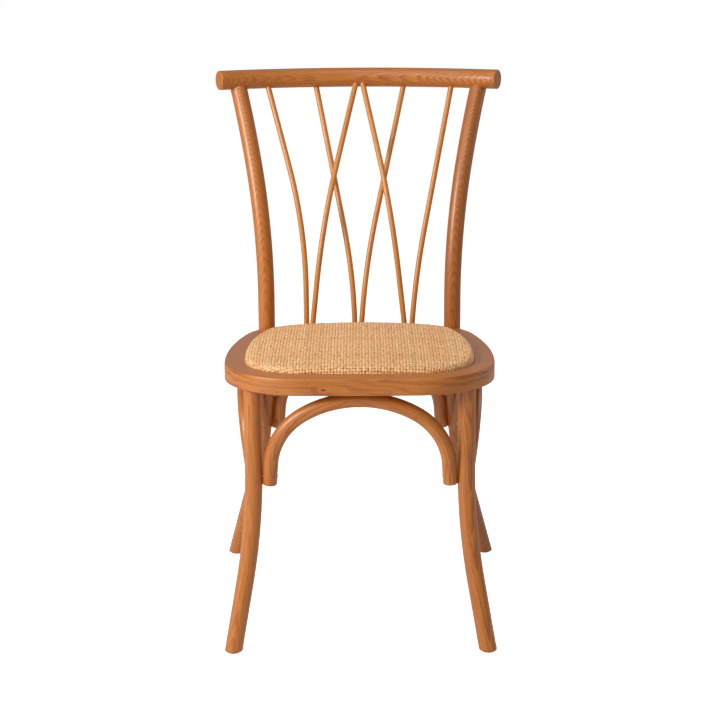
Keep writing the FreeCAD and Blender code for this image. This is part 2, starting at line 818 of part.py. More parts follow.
def foot_floor_cut(body, drop_expression, drop):
    """Cuts a leg level at the top of its glide."""
    wide = size("seat_height")
    deep = size("hoop_width") / 2
    sketch = new_sketch(body, "XZ_Plane", "floor")
    corners = [
        Vector(-wide, -drop, 0),
        Vector(-wide, -drop - deep, 0),
        Vector(wide, -drop - deep, 0),
        Vector(wide, -drop, 0),
    ]
    for number, corner in enumerate(corners):
        sketch.addGeometry(Part.LineSegment(corner, corners[(number + 1) % 4]), False)
    for number in range(4):
        sketch.addConstraint(Sketcher.Constraint("Coincident", number, 2, (number + 1) % 4, 1))
    for number in (0, 2):
        sketch.addConstraint(Sketcher.Constraint("Vertical", number))
    for number in (1, 3):
        sketch.addConstraint(Sketcher.Constraint("Horizontal", number))
    bind(sketch, Sketcher.Constraint("DistanceY", 3, 1, -1, 1, drop), "drop", drop_expression)
    bind(sketch, Sketcher.Constraint("DistanceY", 1, 1, 3, 1, deep), "deep", "<<sizes>>.hoop_width / 2")
    width = Sketcher.Constraint("DistanceX", 3, 2, 3, 1, 2 * wide)
    bind(sketch, width, "wide", "2 * <<sizes>>.seat_height")
    bind(sketch, Sketcher.Constraint("DistanceX", 3, 2, -1, 1, wide), "reach", "<<sizes>>.seat_height")
    before = body.Shape.Volume
    cut = body.newObject("PartDesign::Pocket", f"{body.Name}_level_foot")
    cut.Profile = sketch
    cut.Type = "ThroughAll"
    cut.Midplane = True
    body.Tip = cut
    doc.recompute()
    if body.Shape.Volume >= before - LEAST_CUT:
        raise RuntimeError(f"{cut.Name} cuts nothing")
    level = min(edge.BoundBox.ZMax for edge in cut.Shape.Edges)
    rim = edges_where(cut.Shape, lambda edge: edge.BoundBox.ZMax < level + NEAR)
    return rounded(body, cut, rim, "<<sizes>>.foot_round")


def make_post_bar(side, name):
    """A back post and its leg as one bent bar, from under the floor to the rail's middle."""
    body = new_body(f"{name}_bar")
    diameter = size("post_diameter")
    expression = "<<sizes>>.post_diameter"
    upper_turn = math.radians(size("post_upper_turn"))
    upper_rise = RAIL_HEIGHT - size("seat_height") - size("post_upper_straight")
    last_rise = upper_rise - size("post_upper_radius") * math.sin(upper_turn)
    upper = [
        ("run", size("post_upper_straight"), "<<sizes>>.post_upper_straight"),
        (
            "bend",
            size("post_upper_radius"),
            "<<sizes>>.post_upper_radius",
            size("post_upper_turn"),
            "<<sizes>>.post_upper_turn",
            1,
        ),
        (
            "run",
            last_rise / math.cos(upper_turn),
            "(<<sizes>>.overall_height - <<sizes>>.rail_diameter / 2 - <<sizes>>.seat_height"
            " - <<sizes>>.post_upper_straight"
            " - <<sizes>>.post_upper_radius * sin(<<sizes>>.post_upper_turn * 1deg))"
            " / cos(<<sizes>>.post_upper_turn * 1deg)",
        ),
    ]
    path = trace(body, "upper_line", upper)
    sweep(body, "upper", round_profile(body, "upper_round", diameter, expression), path)
    turn = math.radians(size("post_lower_turn"))
    bend_drop = size("post_lower_radius") * math.sin(turn)
    left_over = size("seat_height") - size("post_lower_straight") - bend_drop
    tail = left_over / math.cos(turn) + diameter
    lower = [
        ("run", size("post_lower_straight"), "<<sizes>>.post_lower_straight"),
        (
            "bend",
            size("post_lower_radius"),
            "<<sizes>>.post_lower_radius",
            size("post_lower_turn"),
            "<<sizes>>.post_lower_turn",
            -1,
        ),
        (
            "run",
            tail,
            "(<<sizes>>.seat_height - <<sizes>>.post_lower_straight"
            " - <<sizes>>.post_lower_radius * sin(<<sizes>>.post_lower_turn * 1deg))"
            " / cos(<<sizes>>.post_lower_turn * 1deg) + <<sizes>>.post_diameter",
        ),
    ]
    path = trace(body, "lower_line", lower, heading=-90.0)
    sweep(body, "lower", round_profile(body, "lower_round", diameter, expression), path)
    drop = size("seat_height") - size("glide_thickness")
    foot_floor_cut(body, "<<sizes>>.seat_height - <<sizes>>.glide_thickness", drop)
    spot = post_axis(side) + Vector(0, 0, size("seat_height"))
    body.Placement = facing(spot, post_heading(side))
    return body


def make_front_leg_bar(side, name):
    """A front leg with the tenon that enters the seat frame."""
    body = new_body(f"{name}_bar")
    diameter = size("front_leg_diameter")
    turn = math.radians(size("front_leg_turn"))
    bend_drop = size("front_leg_radius") * math.sin(turn)
    left_over = HOOP_UNDERSIDE - size("front_leg_straight") - bend_drop
    steps = [
        ("run", size("front_leg_straight"), "<<sizes>>.front_leg_straight"),
        (
            "bend",
            size("front_leg_radius"),
            "<<sizes>>.front_leg_radius",
            size("front_leg_turn"),
            "<<sizes>>.front_leg_turn",
            -1,
        ),
        (
            "run",
            left_over / math.cos(turn) + diameter,
            "(<<sizes>>.seat_height - <<sizes>>.hoop_thickness - <<sizes>>.front_leg_straight"
            " - <<sizes>>.front_leg_radius * sin(<<sizes>>.front_leg_turn * 1deg))"
            " / cos(<<sizes>>.front_leg_turn * 1deg) + <<sizes>>.front_leg_diameter",
        ),
    ]
    profile = round_profile(body, "round", diameter, "<<sizes>>.front_leg_diameter")
    sweep(body, "bar", profile, trace(body, "line", steps, heading=-90.0))
    foot_floor_cut(
        body,
        "<<sizes>>.seat_height - <<sizes>>.hoop_thickness - <<sizes>>.glide_thickness",
        HOOP_UNDERSIDE - size("glide_thickness"),
    )
    tenon = round_profile(
        body, "tenon_round", size("front_leg_tenon_diameter"), "<<sizes>>.front_leg_tenon_diameter"
    )
    pad_up(body, "tenon", tenon, "<<sizes>>.front_leg_tenon_length")
    spot = front_leg_axis(side) + Vector(0, 0, HOOP_UNDERSIDE)
    body.Placement = facing(spot, front_leg_heading(side))
    return body


def make_rail_bar():
    """The top rail before its sockets: a round bar on an arc."""
    body = new_body("top_rail_bar")
    sketch = new_sketch(body, "YZ_Plane", "section")
    reach = size("rail_radius")
    circle = Part.Circle(Vector(reach, 0, 0), Vector(0, 0, 1), size("rail_diameter") / 2)
    sketch.addGeometry(circle, False)
    sketch.addConstraint(Sketcher.Constraint("PointOnObject", 0, 3, -1))
    bind(sketch, Sketcher.Constraint("DistanceX", -1, 1, 0, 3, reach), "reach", "<<sizes>>.rail_radius")
    diameter = Sketcher.Constraint("Diameter", 0, size("rail_diameter"))
    bind(sketch, diameter, "diameter", "<<sizes>>.rail_diameter")
    bow = body.newObject("PartDesign::Revolution", "top_rail_bow")
    bow.Profile = sketch
    bow.ReferenceAxis = (sketch, ["V_Axis"])
    bow.Midplane = True
    bow.setExpression("Angle", "<<derived>>.rail_turn")
    body.Tip = bow
    doc.recompute()
    rim = math.pi * size("rail_diameter")
    ends = edges_where(bow.Shape, lambda edge: abs(edge.Length - rim) < NEAR)
    rounded(body, bow, ends, "<<sizes>>.rail_end_round")
    body.Placement = Placement(Vector(0, RAIL_CENTRE_Y, RAIL_HEIGHT), Rotation())
    return body


def make_arch_bar(name, arch):
    """An arch before it is bedded on its legs and the seat frame."""
    body = new_body(f"{name}_bar")
    profile = new_sketch(body, "YZ_Plane", "round")
    circle = Part.Circle(Vector(0, 0, 0), Vector(0, 0, 1), size("arch_diameter") / 2)
    profile.addGeometry(circle, False)
    profile.addConstraint(Sketcher.Constraint("Coincident", 0, 3, -1, 1))
    diameter = Sketcher.Constraint("Diameter", 0, size("arch_diameter"))
    bind(profile, diameter, "diameter", "<<sizes>>.arch_diameter")
    steps = [
        (
            "bend",
            arch.crown_radius,
            f"<<derived>>.{name}_crown_radius",
            arch.crown_turn,
            f"<<derived>>.{name}_crown_turn",
            1,
        ),
        (
            "bend",
            size("arch_shoulder_radius"),
            "<<sizes>>.arch_shoulder_radius",
            arch.shoulder_turn,
            f"<<derived>>.{name}_shoulder_turn",
            1,
        ),
        ("run", size("arch_end_straight"), "<<sizes>>.arch_end_straight"),
    ]
    half = sweep(body, "half", profile, trace(body, "line", steps, heading=0.0))
    whole = body.newObject("PartDesign::Mirrored", f"{body.Name}_whole")
    whole.Originals = [half]
    plane = next(item for item in body.Origin.OriginFeatures if item.Role == "YZ_Plane")
    whole.MirrorPlane = (plane, [""])
    body.Tip = whole
    doc.recompute()
    body.Placement = arch.place
    return body


def make_spindle_bar(name, spindle):
    """One spindle, bent once between its two straight runs."""
    body = new_body(name)
    steps = [
        ("run", spindle.lower_run, f"<<derived>>.{name}_lower_run"),
        (
            "bend",
            spindle.radius,
            f"<<derived>>.{name}_radius",
            spindle.turn,
            f"<<derived>>.{name}_turn",
            1,
        ),
        ("run", spindle.upper_run, f"<<derived>>.{name}_upper_run"),
    ]
    profile = round_profile(body, "round", size("spindle_diameter"), "<<sizes>>.spindle_diameter")
    sweep(body, "bar", profile, trace(body, "line", steps))
    body.Placement = spindle.place
    return body


# Seat frame


def make_hoop_body():
    """The bent seat frame with its rebate, ledge and the bores for posts and legs."""
    body = new_body("seat_hoop_blank")
    thick = "<<sizes>>.hoop_thickness"
    slab = pad_up(body, "slab", seat_outline(body, "outer", NO_INSETS), thick)
    rims = edges_where(slab.Shape, lambda edge: edge.BoundBox.ZLength < NEAR)
    rounded(body, slab, rims, "<<sizes>>.hoop_edge_round")
    opening = seat_outline(body, "opening", face_insets(size("ledge_width"), "<<sizes>>.ledge_width"))
    pocket(body, "open_middle", opening, thick, True)
    rebate = seat_outline(body, "rebate", face_insets(0, "0"), "<<sizes>>.ledge_thickness")
    pocket(body, "rebate_cut", rebate, thick, True)
    posts = [post_axis(side) - FRONT_EDGE for side in (-1, 1)]
    bore = size("post_diameter") / 2 + size("socket_clearance")
    bore_expression = "<<sizes>>.post_diameter / 2 + <<sizes>>.socket_clearance"
    round_holes(body, "post_notches", posts, bore, bore_expression, thick)
    legs = [front_leg_axis(side) - FRONT_EDGE for side in (-1, 1)]
    socket = size("front_leg_tenon_diameter") / 2 + size("socket_clearance")
    round_holes(
        body,
        "leg_sockets",
        legs,
        socket,
        "<<sizes>>.front_leg_tenon_diameter / 2 + <<sizes>>.socket_clearance",
        "<<sizes>>.front_leg_tenon_length + <<sizes>>.seat_fit",
    )
    body.Placement = Placement(FRONT_EDGE + Vector(0, 0, HOOP_UNDERSIDE), Rotation())
    return body


# Drop-in seat


def domed_top(body, top_expression, top, radius_expression, radius):
    """Takes away what lies above a shallow dome over the middle of the seat."""
    middle = size("hoop_depth") / 2
    wide = size("hoop_width")
    tall = size("hoop_thickness")
    sketch = new_sketch(body, "XZ_Plane", "dome")
    sketch.setExpression(".AttachmentOffset.Base.z", "-<<sizes>>.hoop_depth / 2")
    dip = radius - math.sqrt(radius**2 - wide**2)
    centre = Vector(0, top - radius, 0)
    start = math.atan2(radius - dip, wide)
    arc = Part.ArcOfCircle(Part.Circle(centre, Vector(0, 0, 1), radius), start, math.pi / 2)
    corners = [
        Vector(wide, top - dip, 0),
        Vector(wide, top + tall, 0),
        Vector(0, top + tall, 0),
        Vector(0, top, 0),
    ]
    sketch.addGeometry(arc, False)
    for number in range(3):
        sketch.addGeometry(Part.LineSegment(corners[number], corners[number + 1]), False)
    sketch.addConstraint(Sketcher.Constraint("Coincident", 0, 1, 1, 1))
    sketch.addConstraint(Sketcher.Constraint("Coincident", 1, 2, 2, 1))
    sketch.addConstraint(Sketcher.Constraint("Coincident", 2, 2, 3, 1))
    sketch.addConstraint(Sketcher.Constraint("Coincident", 3, 2, 0, 2))
    sketch.addConstraint(Sketcher.Constraint("Vertical", 1))
    sketch.addConstraint(Sketcher.Constraint("Horizontal", 2))
    sketch.addConstraint(Sketcher.Constraint("PointOnObject", 3, 1, -2))
    sketch.addConstraint(Sketcher.Constraint("PointOnObject", 3, 2, -2))
    sketch.addConstraint(Sketcher.Constraint("PointOnObject", 0, 3, -2))
    bind(sketch, Sketcher.Constraint("Radius", 0, radius), "dome_radius", radius_expression)
    bind(sketch, Sketcher.Constraint("DistanceY", -1, 1, 3, 2, top), "dome_top", top_expression)
    bind(sketch, Sketcher.Constraint("DistanceX", -1, 1, 1, 1, wide), "reach", "<<sizes>>.hoop_width")
    bind(sketch, Sketcher.Constraint("DistanceY", 3, 2, 3, 1, tall), "tall", "<<sizes>>.hoop_thickness")
    before = body.Shape.Volume
    groove = body.newObject("PartDesign::Groove", f"{body.Name}_dome_cut")
    groove.Profile = sketch
    groove.ReferenceAxis = (sketch, ["V_Axis"])
    groove.Angle = 360
    body.Tip = groove
    doc.recompute()
    if body.Shape.Volume >= before - LEAST_CUT:
        raise RuntimeError(f"{groove.Name} cuts nothing")
    return groove


def make_domed_form(name, insets, base, lower, lower_expression, round_expression):
    """A crowned block with the seat's plan, from a base height up to a dome.

    lower is how far the dome lies under the outside of the cane.
    """
    body = new_body(name)
    tall = "<<sizes>>.hoop_thickness + <<sizes>>.crown_above_hoop"
    pad_up(body, "block", seat_outline(body, "outer", insets), tall)
    top = HOOP_TOP + size("crown_above_hoop") - lower - base[0]
    groove = domed_top(
        body,
        f"<<sizes>>.seat_height + <<sizes>>.crown_above_hoop - ({lower_expression}) - ({base[1]})",
        top,
        f"<<sizes>>.crown_radius - ({lower_expression})",
        size("crown_radius") - lower,
    )
    dome = max(groove.Shape.Faces, key=lambda face: face.CenterOfMass.z)
    rim = [edge.hashCode() for edge in dome.Edges]
    names = edges_where(groove.Shape, lambda edge: edge.hashCode() in rim)
    rounded(body, groove, names, round_expression)
    body.Placement = Placement(FRONT_EDGE + Vector(0, 0, base[0]), Rotation())
    return body


def make_seat():
    """Seat board, pad and the woven cane over them."""
    inner_expression = "<<sizes>>.seat_fit + <<sizes>>.cane_thickness"
    inner = face_insets(size("seat_fit") + size("cane_thickness"), inner_expression)
    ledge_expression = "<<sizes>>.seat_height - <<sizes>>.hoop_thickness + <<sizes>>.ledge_thickness"
    board = new_body("seat_board_blank")
    pad_up(board, "slab", seat_outline(board, "outer", inner), "<<sizes>>.board_thickness")
    board.Placement = Placement(FRONT_EDGE + Vector(0, 0, LEDGE_TOP), Rotation())
    board_top = LEDGE_TOP + size("board_thickness")
    pad = make_domed_form(
        "seat_pad",
        inner,
        (board_top, f"{ledge_expression} + <<sizes>>.board_thickness"),
        size("cane_thickness"),
        "<<sizes>>.cane_thickness",
        "<<sizes>>.cane_edge_round - <<sizes>>.cane_thickness",
    )
    form = make_domed_form(
        "seat_cane_form",
        face_insets(size("seat_fit"), "<<sizes>>.seat_fit"),
        (LEDGE_TOP, ledge_expression),
        0.0,
        "0",
        "<<sizes>>.cane_edge_round",
    )
    filling = doc.addObject("Part::MultiFuse", "seat_filling")
    filling.Shapes = [board, pad]
    cane = cut_by("seat_cane", form, filling)
    return board, pad, cane


# Sockets and glides


def post_tenons(side, name):
    """The turned tenon on a post's upper end and the socket that takes it."""
    turn = math.radians(size("post_upper_turn"))
    way = post_heading(side) * math.sin(turn) + Vector(0, 0, math.cos(turn))
    root = size("rail_diameter")
    start = post_top(side) - way * root
    place = along_z(start, way)
    length = "<<sizes>>.rail_diameter + <<sizes>>.post_tenon_reach"
    tenon = bound_cylinder(
        f"{name}_tenon",
        place,
        size("post_tenon_diameter") / 2,
        "<<sizes>>.post_tenon_diameter / 2",
        root + size("post_tenon_reach"),
        length,
    )
    socket = bound_cylinder(
        f"{name}_tenon_socket",
        place,
        size("post_tenon_diameter") / 2 + size("socket_clearance"),
        "<<sizes>>.post_tenon_diameter / 2 + <<sizes>>.socket_clearance",
        root + size("post_tenon_reach") + size("seat_fit"),
        f"{length} + <<sizes>>.seat_fit",
    )
    return tenon, socket


def spindle_sockets(name, spindle):
    """The hole in the seat frame and the hole in the rail for one spindle."""
    radius = size("spindle_diameter") / 2 + size("socket_clearance")
    radius_expression = "<<sizes>>.spindle_diameter / 2 + <<sizes>>.socket_clearance"
    floor = spindle.foot - spindle.lower_way * size("seat_fit")
    seat_hole = bound_cylinder(
        f"{name}_seat_hole",
        along_z(floor, spindle.lower_way),
        radius,
        radius_expression,
        2 * size("spindle_seat_depth"),
        "2 * <<sizes>>.spindle_seat_depth",
    )
    start = spindle.head - spindle.upper_way * size("spindle_rail_depth")
    rail_hole = bound_cylinder(
        f"{name}_rail_hole",
        along_z(start, spindle.upper_way),
        radius,
        radius_expression,
        2 * size("spindle_rail_depth") + size("seat_fit"),
        "2 * <<sizes>>.spindle_rail_depth + <<sizes>>.seat_fit",
    )
    return seat_hole, rail_hole


def foot_places():
    """Middle of each leg's end, level with the top of the glides."""
    level = size("glide_thickness")
    return [leg_at(-1, level), leg_at(1, level), post_at(-1, level), post_at(1, level)]


def make_glides():
    """Four nail-on glides and the holes for their pins."""
    disc, thick = size("glide_diameter") / 2, size("glide_thickness")
    pin, long = size("glide_pin_diameter") / 2, size("glide_pin_length")
    button = Part.makeCylinder(disc, thick, Vector(0, 0, -thick))
    glide = button.fuse(Part.makeCylinder(pin, long)).removeSplitter()
    deep = thick + long + size("seat_fit")
    bore = Part.makeCylinder(pin + size("socket_clearance"), deep, Vector(0, 0, -thick))
    places = [Placement(spot, Rotation()) for spot in foot_places()]
    return placed_copies("foot_glides", glide, places), placed_copies("glide_pin_bores", bore, places)


# Assembly: every bar gets the holes and seats of what it meets


def build_chair():
    """Builds every sub-part and returns the finished ones."""
    finished, screw_holes = make_screws()
    glides, pin_bores = make_glides()
    finished.append(glides)
    drilling = grouped("drilling", [screw_holes, pin_bores])
    rail_bar = make_rail_bar()
    rail_tools = []
    hoop_tools = [screw_holes]
    posts = {}
    for side, hand in ((-1, "left"), (1, "right")):
        name = f"{hand}_back_post"
        bar = make_post_bar(side, name)
        tenon, socket = post_tenons(side, name)
        rail_tools.append(socket)
        scribed = cut_by(f"{name}_scribed", bar, rail_bar)
        joined = doc.addObject("Part::Fuse", f"{name}_with_tenon")
        joined.Base = scribed
        joined.Tool = tenon
        posts[side] = cut_by(name, joined, drilling)
        finished.append(posts[side])
    legs = {}
    for side, hand in ((-1, "left"), (1, "right")):
        name = f"{hand}_front_leg"
        legs[side] = cut_by(name, make_front_leg_bar(side, name), drilling)
        finished.append(legs[side])
    for name, spindle in BENT_SPINDLES.items():
        finished.append(make_spindle_bar(name, spindle))
        seat_hole, rail_hole = spindle_sockets(name, spindle)
        hoop_tools.append(seat_hole)
        rail_tools.append(rail_hole)
    finished.append(cut_by("top_rail", rail_bar, grouped("rail_sockets", rail_tools)))
    above = doc.addObject("Part::Box", "space_above_underside")
    above.setExpression("Length", "2 * <<sizes>>.hoop_width")
    above.setExpression("Width", "2 * <<sizes>>.hoop_width")
    above.setExpression("Height", "<<sizes>>.arch_diameter")
    reach = size("hoop_width")
    above.Placement = Placement(Vector(-reach, -reach, HOOP_UNDERSIDE), Rotation())
    carriers = grouped("arch_seats", [posts[-1], posts[1], legs[-1], legs[1], above])
    for name, arch in ARCHES.items():
        bedded = cut_by(f"{name}_bedded", make_arch_bar(name, arch), carriers)
        finished.append(cut_by(name, bedded, screw_holes))
    finished.append(cut_by("seat_hoop", make_hoop_body(), grouped("hoop_tools", hoop_tools)))
    board, pad, cane = make_seat()
    finished.append(cut_by("seat_board", board, screw_holes))
    finished.append(pad)
    finished.append(cane)
    return finished


def check(objects):
    """Stops if anything failed to build, and prints each sub-part's volume."""
    doc.recompute()
    for item in doc.Objects:
        if "Invalid" in item.State or "Error" in item.State:
            raise RuntimeError(f"{item.Label} failed: {item.State}")
    for item in objects:
        shape = item.Shape
        if shape.isNull() or not shape.isValid() or not shape.Solids:
            raise RuntimeError(f"{item.Label} isn't a valid solid")
        print(f"{item.Label}: {len(shape.Solids)} solid, {shape.Volume / 1000:.1f} cm3")


def write(objects):
    """Writes one file for each sub-part."""
    os.makedirs("parts", exist_ok=True)
    for item in objects:
        item.Shape.exportStep(os.path.join("parts", f"{item.Label}.step"))


chair = build_chair()
check(chair)
write(chair)
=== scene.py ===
"""Looks of the cross back chair: bent bars, seat frame, woven cane seat, board, screws and glides."""

import logging
import math
from dataclasses import dataclass, field
from enum import Enum

import bpy
import numpy as np
from mathutils import Matrix, Vector

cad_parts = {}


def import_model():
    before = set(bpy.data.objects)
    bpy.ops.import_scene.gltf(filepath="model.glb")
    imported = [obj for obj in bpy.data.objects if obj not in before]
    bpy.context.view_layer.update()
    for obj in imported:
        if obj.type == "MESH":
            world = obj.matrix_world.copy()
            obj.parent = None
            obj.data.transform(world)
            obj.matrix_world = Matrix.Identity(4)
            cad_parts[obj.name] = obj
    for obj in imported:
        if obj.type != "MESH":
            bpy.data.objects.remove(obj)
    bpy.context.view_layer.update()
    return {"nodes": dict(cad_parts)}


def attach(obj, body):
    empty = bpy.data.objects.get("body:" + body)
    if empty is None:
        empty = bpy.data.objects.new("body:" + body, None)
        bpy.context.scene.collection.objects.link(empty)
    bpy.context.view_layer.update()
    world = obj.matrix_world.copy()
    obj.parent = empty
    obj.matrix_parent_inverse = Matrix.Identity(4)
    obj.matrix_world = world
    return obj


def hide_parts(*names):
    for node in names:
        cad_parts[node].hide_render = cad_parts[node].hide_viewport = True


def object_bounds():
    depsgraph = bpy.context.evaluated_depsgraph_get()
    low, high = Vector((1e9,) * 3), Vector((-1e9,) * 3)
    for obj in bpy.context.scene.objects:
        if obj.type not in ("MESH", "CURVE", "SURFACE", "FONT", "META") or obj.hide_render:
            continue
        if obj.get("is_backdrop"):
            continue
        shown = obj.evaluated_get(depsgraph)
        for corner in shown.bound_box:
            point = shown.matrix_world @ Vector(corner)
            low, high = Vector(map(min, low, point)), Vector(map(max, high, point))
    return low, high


LOG = logging.getLogger("chair")
MM = 0.001
BODY = "root"
UP = Vector((0.0, 0.0, 1.0))

Tree = bpy.types.NodeTree
Node = bpy.types.Node
Socket = bpy.types.NodeSocket
Material = bpy.types.Material
Object = bpy.types.Object
Mesh = bpy.types.Mesh


class Slot(Enum):
    """The material slots."""

    BENT_WOOD = "bent_wood"
    SPINDLE_WOOD = "spindle_wood"
    PLYWOOD = "plywood"
    FOAM = "seat_foam"
    CANE = "woven_cane"
    STEEL = "screw_steel"
    PLASTIC = "glide_plastic"


class Hand(Enum):
    """The chair's two sides, as the sign of X."""

    LEFT = -1
    RIGHT = 1


class End(Enum):
    """How a bar ends: inside another piece, with a rounded edge, or cut level on its glide."""

    HIDDEN = "hidden"
    ROUNDED = "rounded"
    FLOOR = "floor"


# Small tools for nodes, colours and meshes


def add(tree: Tree, kind: str, feeds: dict | None = None, **settings) -> Node:
    """Adds a node, sets it up and feeds its sockets.

    Args:
        tree: The tree that gets the node.
        kind: The node's type.
        feeds: A value or another node's socket, by the input's name or number.
        settings: The node's own settings.

    Returns:
        The new node.
    """
    node = tree.nodes.new(kind)
    for name, value in settings.items():
        setattr(node, name, value)
    for key, value in (feeds or {}).items():
        if isinstance(value, Socket):
            tree.links.new(value, node.inputs[key])
        else:
            node.inputs[key].default_value = value
    return node


def linear(code: str) -> tuple[float, float, float, float]:
    """Turns an sRGB hex colour to linear.

    Args:
        code: The colour, such as "#C08040".

    Returns:
        Red, green, blue and an alpha of 1.
    """
    parts = [int(code[i : i + 2], 16) / 255 for i in (1, 3, 5)]
    mixed = [c / 12.92 if c <= 0.04045 else ((c + 0.055) / 1.055) ** 2.4 for c in parts]
    return (*mixed, 1.0)


class Paint:
    """A material in the making: its tree, its shader, and one short call for each kind of node."""

    def __init__(self, name: str) -> None:
        """Starts a material with one shader."""
        self.material = bpy.data.materials.new(name)
        self.material.use_nodes = True
        self.tree = self.material.node_tree
        self.shader = self.tree.nodes["Principled BSDF"]
        self.spot = add(self.tree, "ShaderNodeTexCoord").outputs["Object"]

    def sum_of(self, operation: str, *feeds: object) -> Socket:
        """The result of a sum on numbers."""
        return add(self.tree, "ShaderNodeMath", dict(enumerate(feeds)), operation=operation).outputs[0]

    def vectors(self, operation: str, *feeds: object, part: str = "Vector") -> Socket:
        """The result of a sum on vectors."""
        return add(self.tree, "ShaderNodeVectorMath", dict(enumerate(feeds)), operation=operation).outputs[part]

    def axis(self, vector: Socket, name: str) -> Socket:
        """One axis of a vector."""
        return add(self.tree, "ShaderNodeSeparateXYZ", {0: vector}).outputs[name]

    def read(self, name: str, part: str = "Fac") -> Socket:
        """An attribute that the pieces carry."""
        return add(self.tree, "ShaderNodeAttribute", attribute_name=name).outputs[part]

    def spread(self, value: Socket, *ends: float, **settings: str) -> Socket:
        """Spreads a value from its first two ends to its last two, and stops there."""
        feeds = {0: value, **dict(enumerate(ends, start=1))}
        return add(self.tree, "ShaderNodeMapRange", feeds, **settings).outputs[0]

    def blend(self, share: Socket, under: Socket, over: Socket | str) -> Socket:
        """Lays a share of a colour, given as a socket or as sRGB hex, over another."""
        top = linear(over) if isinstance(over, str) else over
        return add(self.tree, "ShaderNodeMix", {0: share, 6: under, 7: top}, data_type="RGBA").outputs[2]

    def noise(self, vector: Socket, scale: float, detail: float, roughness: float = 0.5) -> Socket:
        """Noise over places, from 0 to 1."""
        feeds = {"Vector": vector, "Scale": scale, "Detail": detail, "Roughness": roughness}
        return add(self.tree, "ShaderNodeTexNoise", feeds).outputs["Fac"]

    def ramp(self, factor: Socket, stops: list[tuple[float, str]]) -> Socket:
        """Spreads colours over a factor.

        Args:
            factor: What drives the ramp.
            stops: Places from 0 to 1 with their colours.

        Returns:
            The colour.
        """
        node = add(self.tree, "ShaderNodeValToRGB", {0: factor})
        band = node.color_ramp.elements
        for number, (place, code) in enumerate(stops):
            stop = band[number] if number < 2 else band.new(place)
            stop.position = place
            stop.color = linear(code)
        return node.outputs["Color"]

    def bump(self, height: Socket, depth_mm: float, strength: float) -> Socket:
        """The normal of a surface with fine relief."""
        feeds = {"Strength": strength, "Distance": depth_mm * MM, "Height": height}
        return add(self.tree, "ShaderNodeBump", feeds).outputs[0]

    def dress(self, **values: Socket | float) -> Material:
        """Gives the shader its sockets and uniform values, by name with _ for a space.

        Args:
            values: A value or another node's socket for each input.

        Returns:
            The finished material.
        """
        for name, value in values.items():
            socket = self.shader.inputs[name.replace("_", " ")]
            if isinstance(value, Socket):
                self.tree.links.new(value, socket)
            else:
                socket.default_value = value
        return self.material


def new_object(name: str, mesh: Mesh) -> Object:
    """Puts a mesh into the scene under its piece's name."""
    made = bpy.data.objects.new(name, mesh)
    bpy.context.scene.collection.objects.link(made)
    return made


def loft(name: str, rings: np.ndarray, round_trip: bool = False) -> Mesh:
    """Skins closed rings into a closed mesh.

    Args:
        name: The mesh's name.
        rings: Ring by ring and point by point, in millimetres.
        round_trip: True if the last ring joins the first, otherwise the ends are filled.

    Returns:
        The mesh, in metres.
    """
    count, around, _ = rings.shape
    number = np.arange(count * around).reshape(count, around)
    lower, upper = (number, np.roll(number, -1, axis=0)) if round_trip else (number[:-1], number[1:])
    quads = np.stack([lower, np.roll(lower, -1, 1), np.roll(upper, -1, 1), upper], axis=-1)
    faces = quads.reshape(-1, 4).tolist()
    points = rings.reshape(-1, 3)
    if not round_trip:
        points = np.vstack([points, rings[0].mean(0), rings[-1].mean(0)])
        first, last = len(points) - 2, len(points) - 1
        faces += [[first, b, a] for a, b in zip(number[0], np.roll(number[0], -1))]
        faces += [[last, a, b] for a, b in zip(number[-1], np.roll(number[-1], -1))]
    mesh = bpy.data.meshes.new(name)
    mesh.from_pydata((points * MM).tolist(), [], faces)
    mesh.update()
    return mesh


def finish_mesh(piece: Object, sharp_degrees: float) -> None:
    """Shades a mesh smooth but for edges sharper than an angle."""
    piece.data.shade_smooth()
    piece.data.set_sharp_from_angle(angle=math.radians(sharp_degrees))


def settle(piece: Object, slot: Slot, *nodes: str) -> None:
    """Makes a finished piece ride and stand for its nodes.

    Args:
        piece: The finished piece.
        slot: Not used.
        nodes: The nodes that it stands for.
    """
    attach(piece, BODY)
    if nodes:
        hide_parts(*nodes)
    LOG.info("%s: %d faces", piece.name, len(piece.data.polygons))


# Node trees that make the bars and the weave


def new_tree(name: str, inputs: dict[str, str]) -> tuple[Tree, bpy.types.NodeInputs, Node]:
    """Starts a Geometry Nodes tree with named inputs and one geometry output.

    Args:
        name: The tree's name.
        inputs: The kind of each input by its name.

    Returns:
        The tree, its inputs as sockets and its output node.
    """
    tree = bpy.data.node_groups.new(name, "GeometryNodeTree")
    for label, kind in inputs.items():
        tree.interface.new_socket(label, in_out="INPUT", socket_type=f"NodeSocket{kind}")
    tree.interface.new_socket("Made", in_out="OUTPUT", socket_type="NodeSocketGeometry")
    return tree, add(tree, "NodeGroupInput").outputs, add(tree, "NodeGroupOutput")


def run_tree(piece: Object, tree: Tree, values: dict[str, object]) -> None:
    """Runs a tree on an object and keeps the result as its plain mesh.

    Args:
        piece: The object whose mesh goes in.
        tree: The tree.
        values: The tree's inputs by name.
    """
    modifier = piece.modifiers.new(tree.name, "NODES")
    modifier.node_group = tree
    for item in tree.interface.items_tree:
        if item.in_out == "INPUT" and item.name in values:
            modifier[item.identifier] = values[item.name]
    graph = bpy.context.evaluated_depsgraph_get()
    made = bpy.data.meshes.new_from_object(
        piece.evaluated_get(graph), preserve_all_data_layers=True, depsgraph=graph
    )
    piece.modifiers.clear()
    piece.data = made
    made.name = piece.name


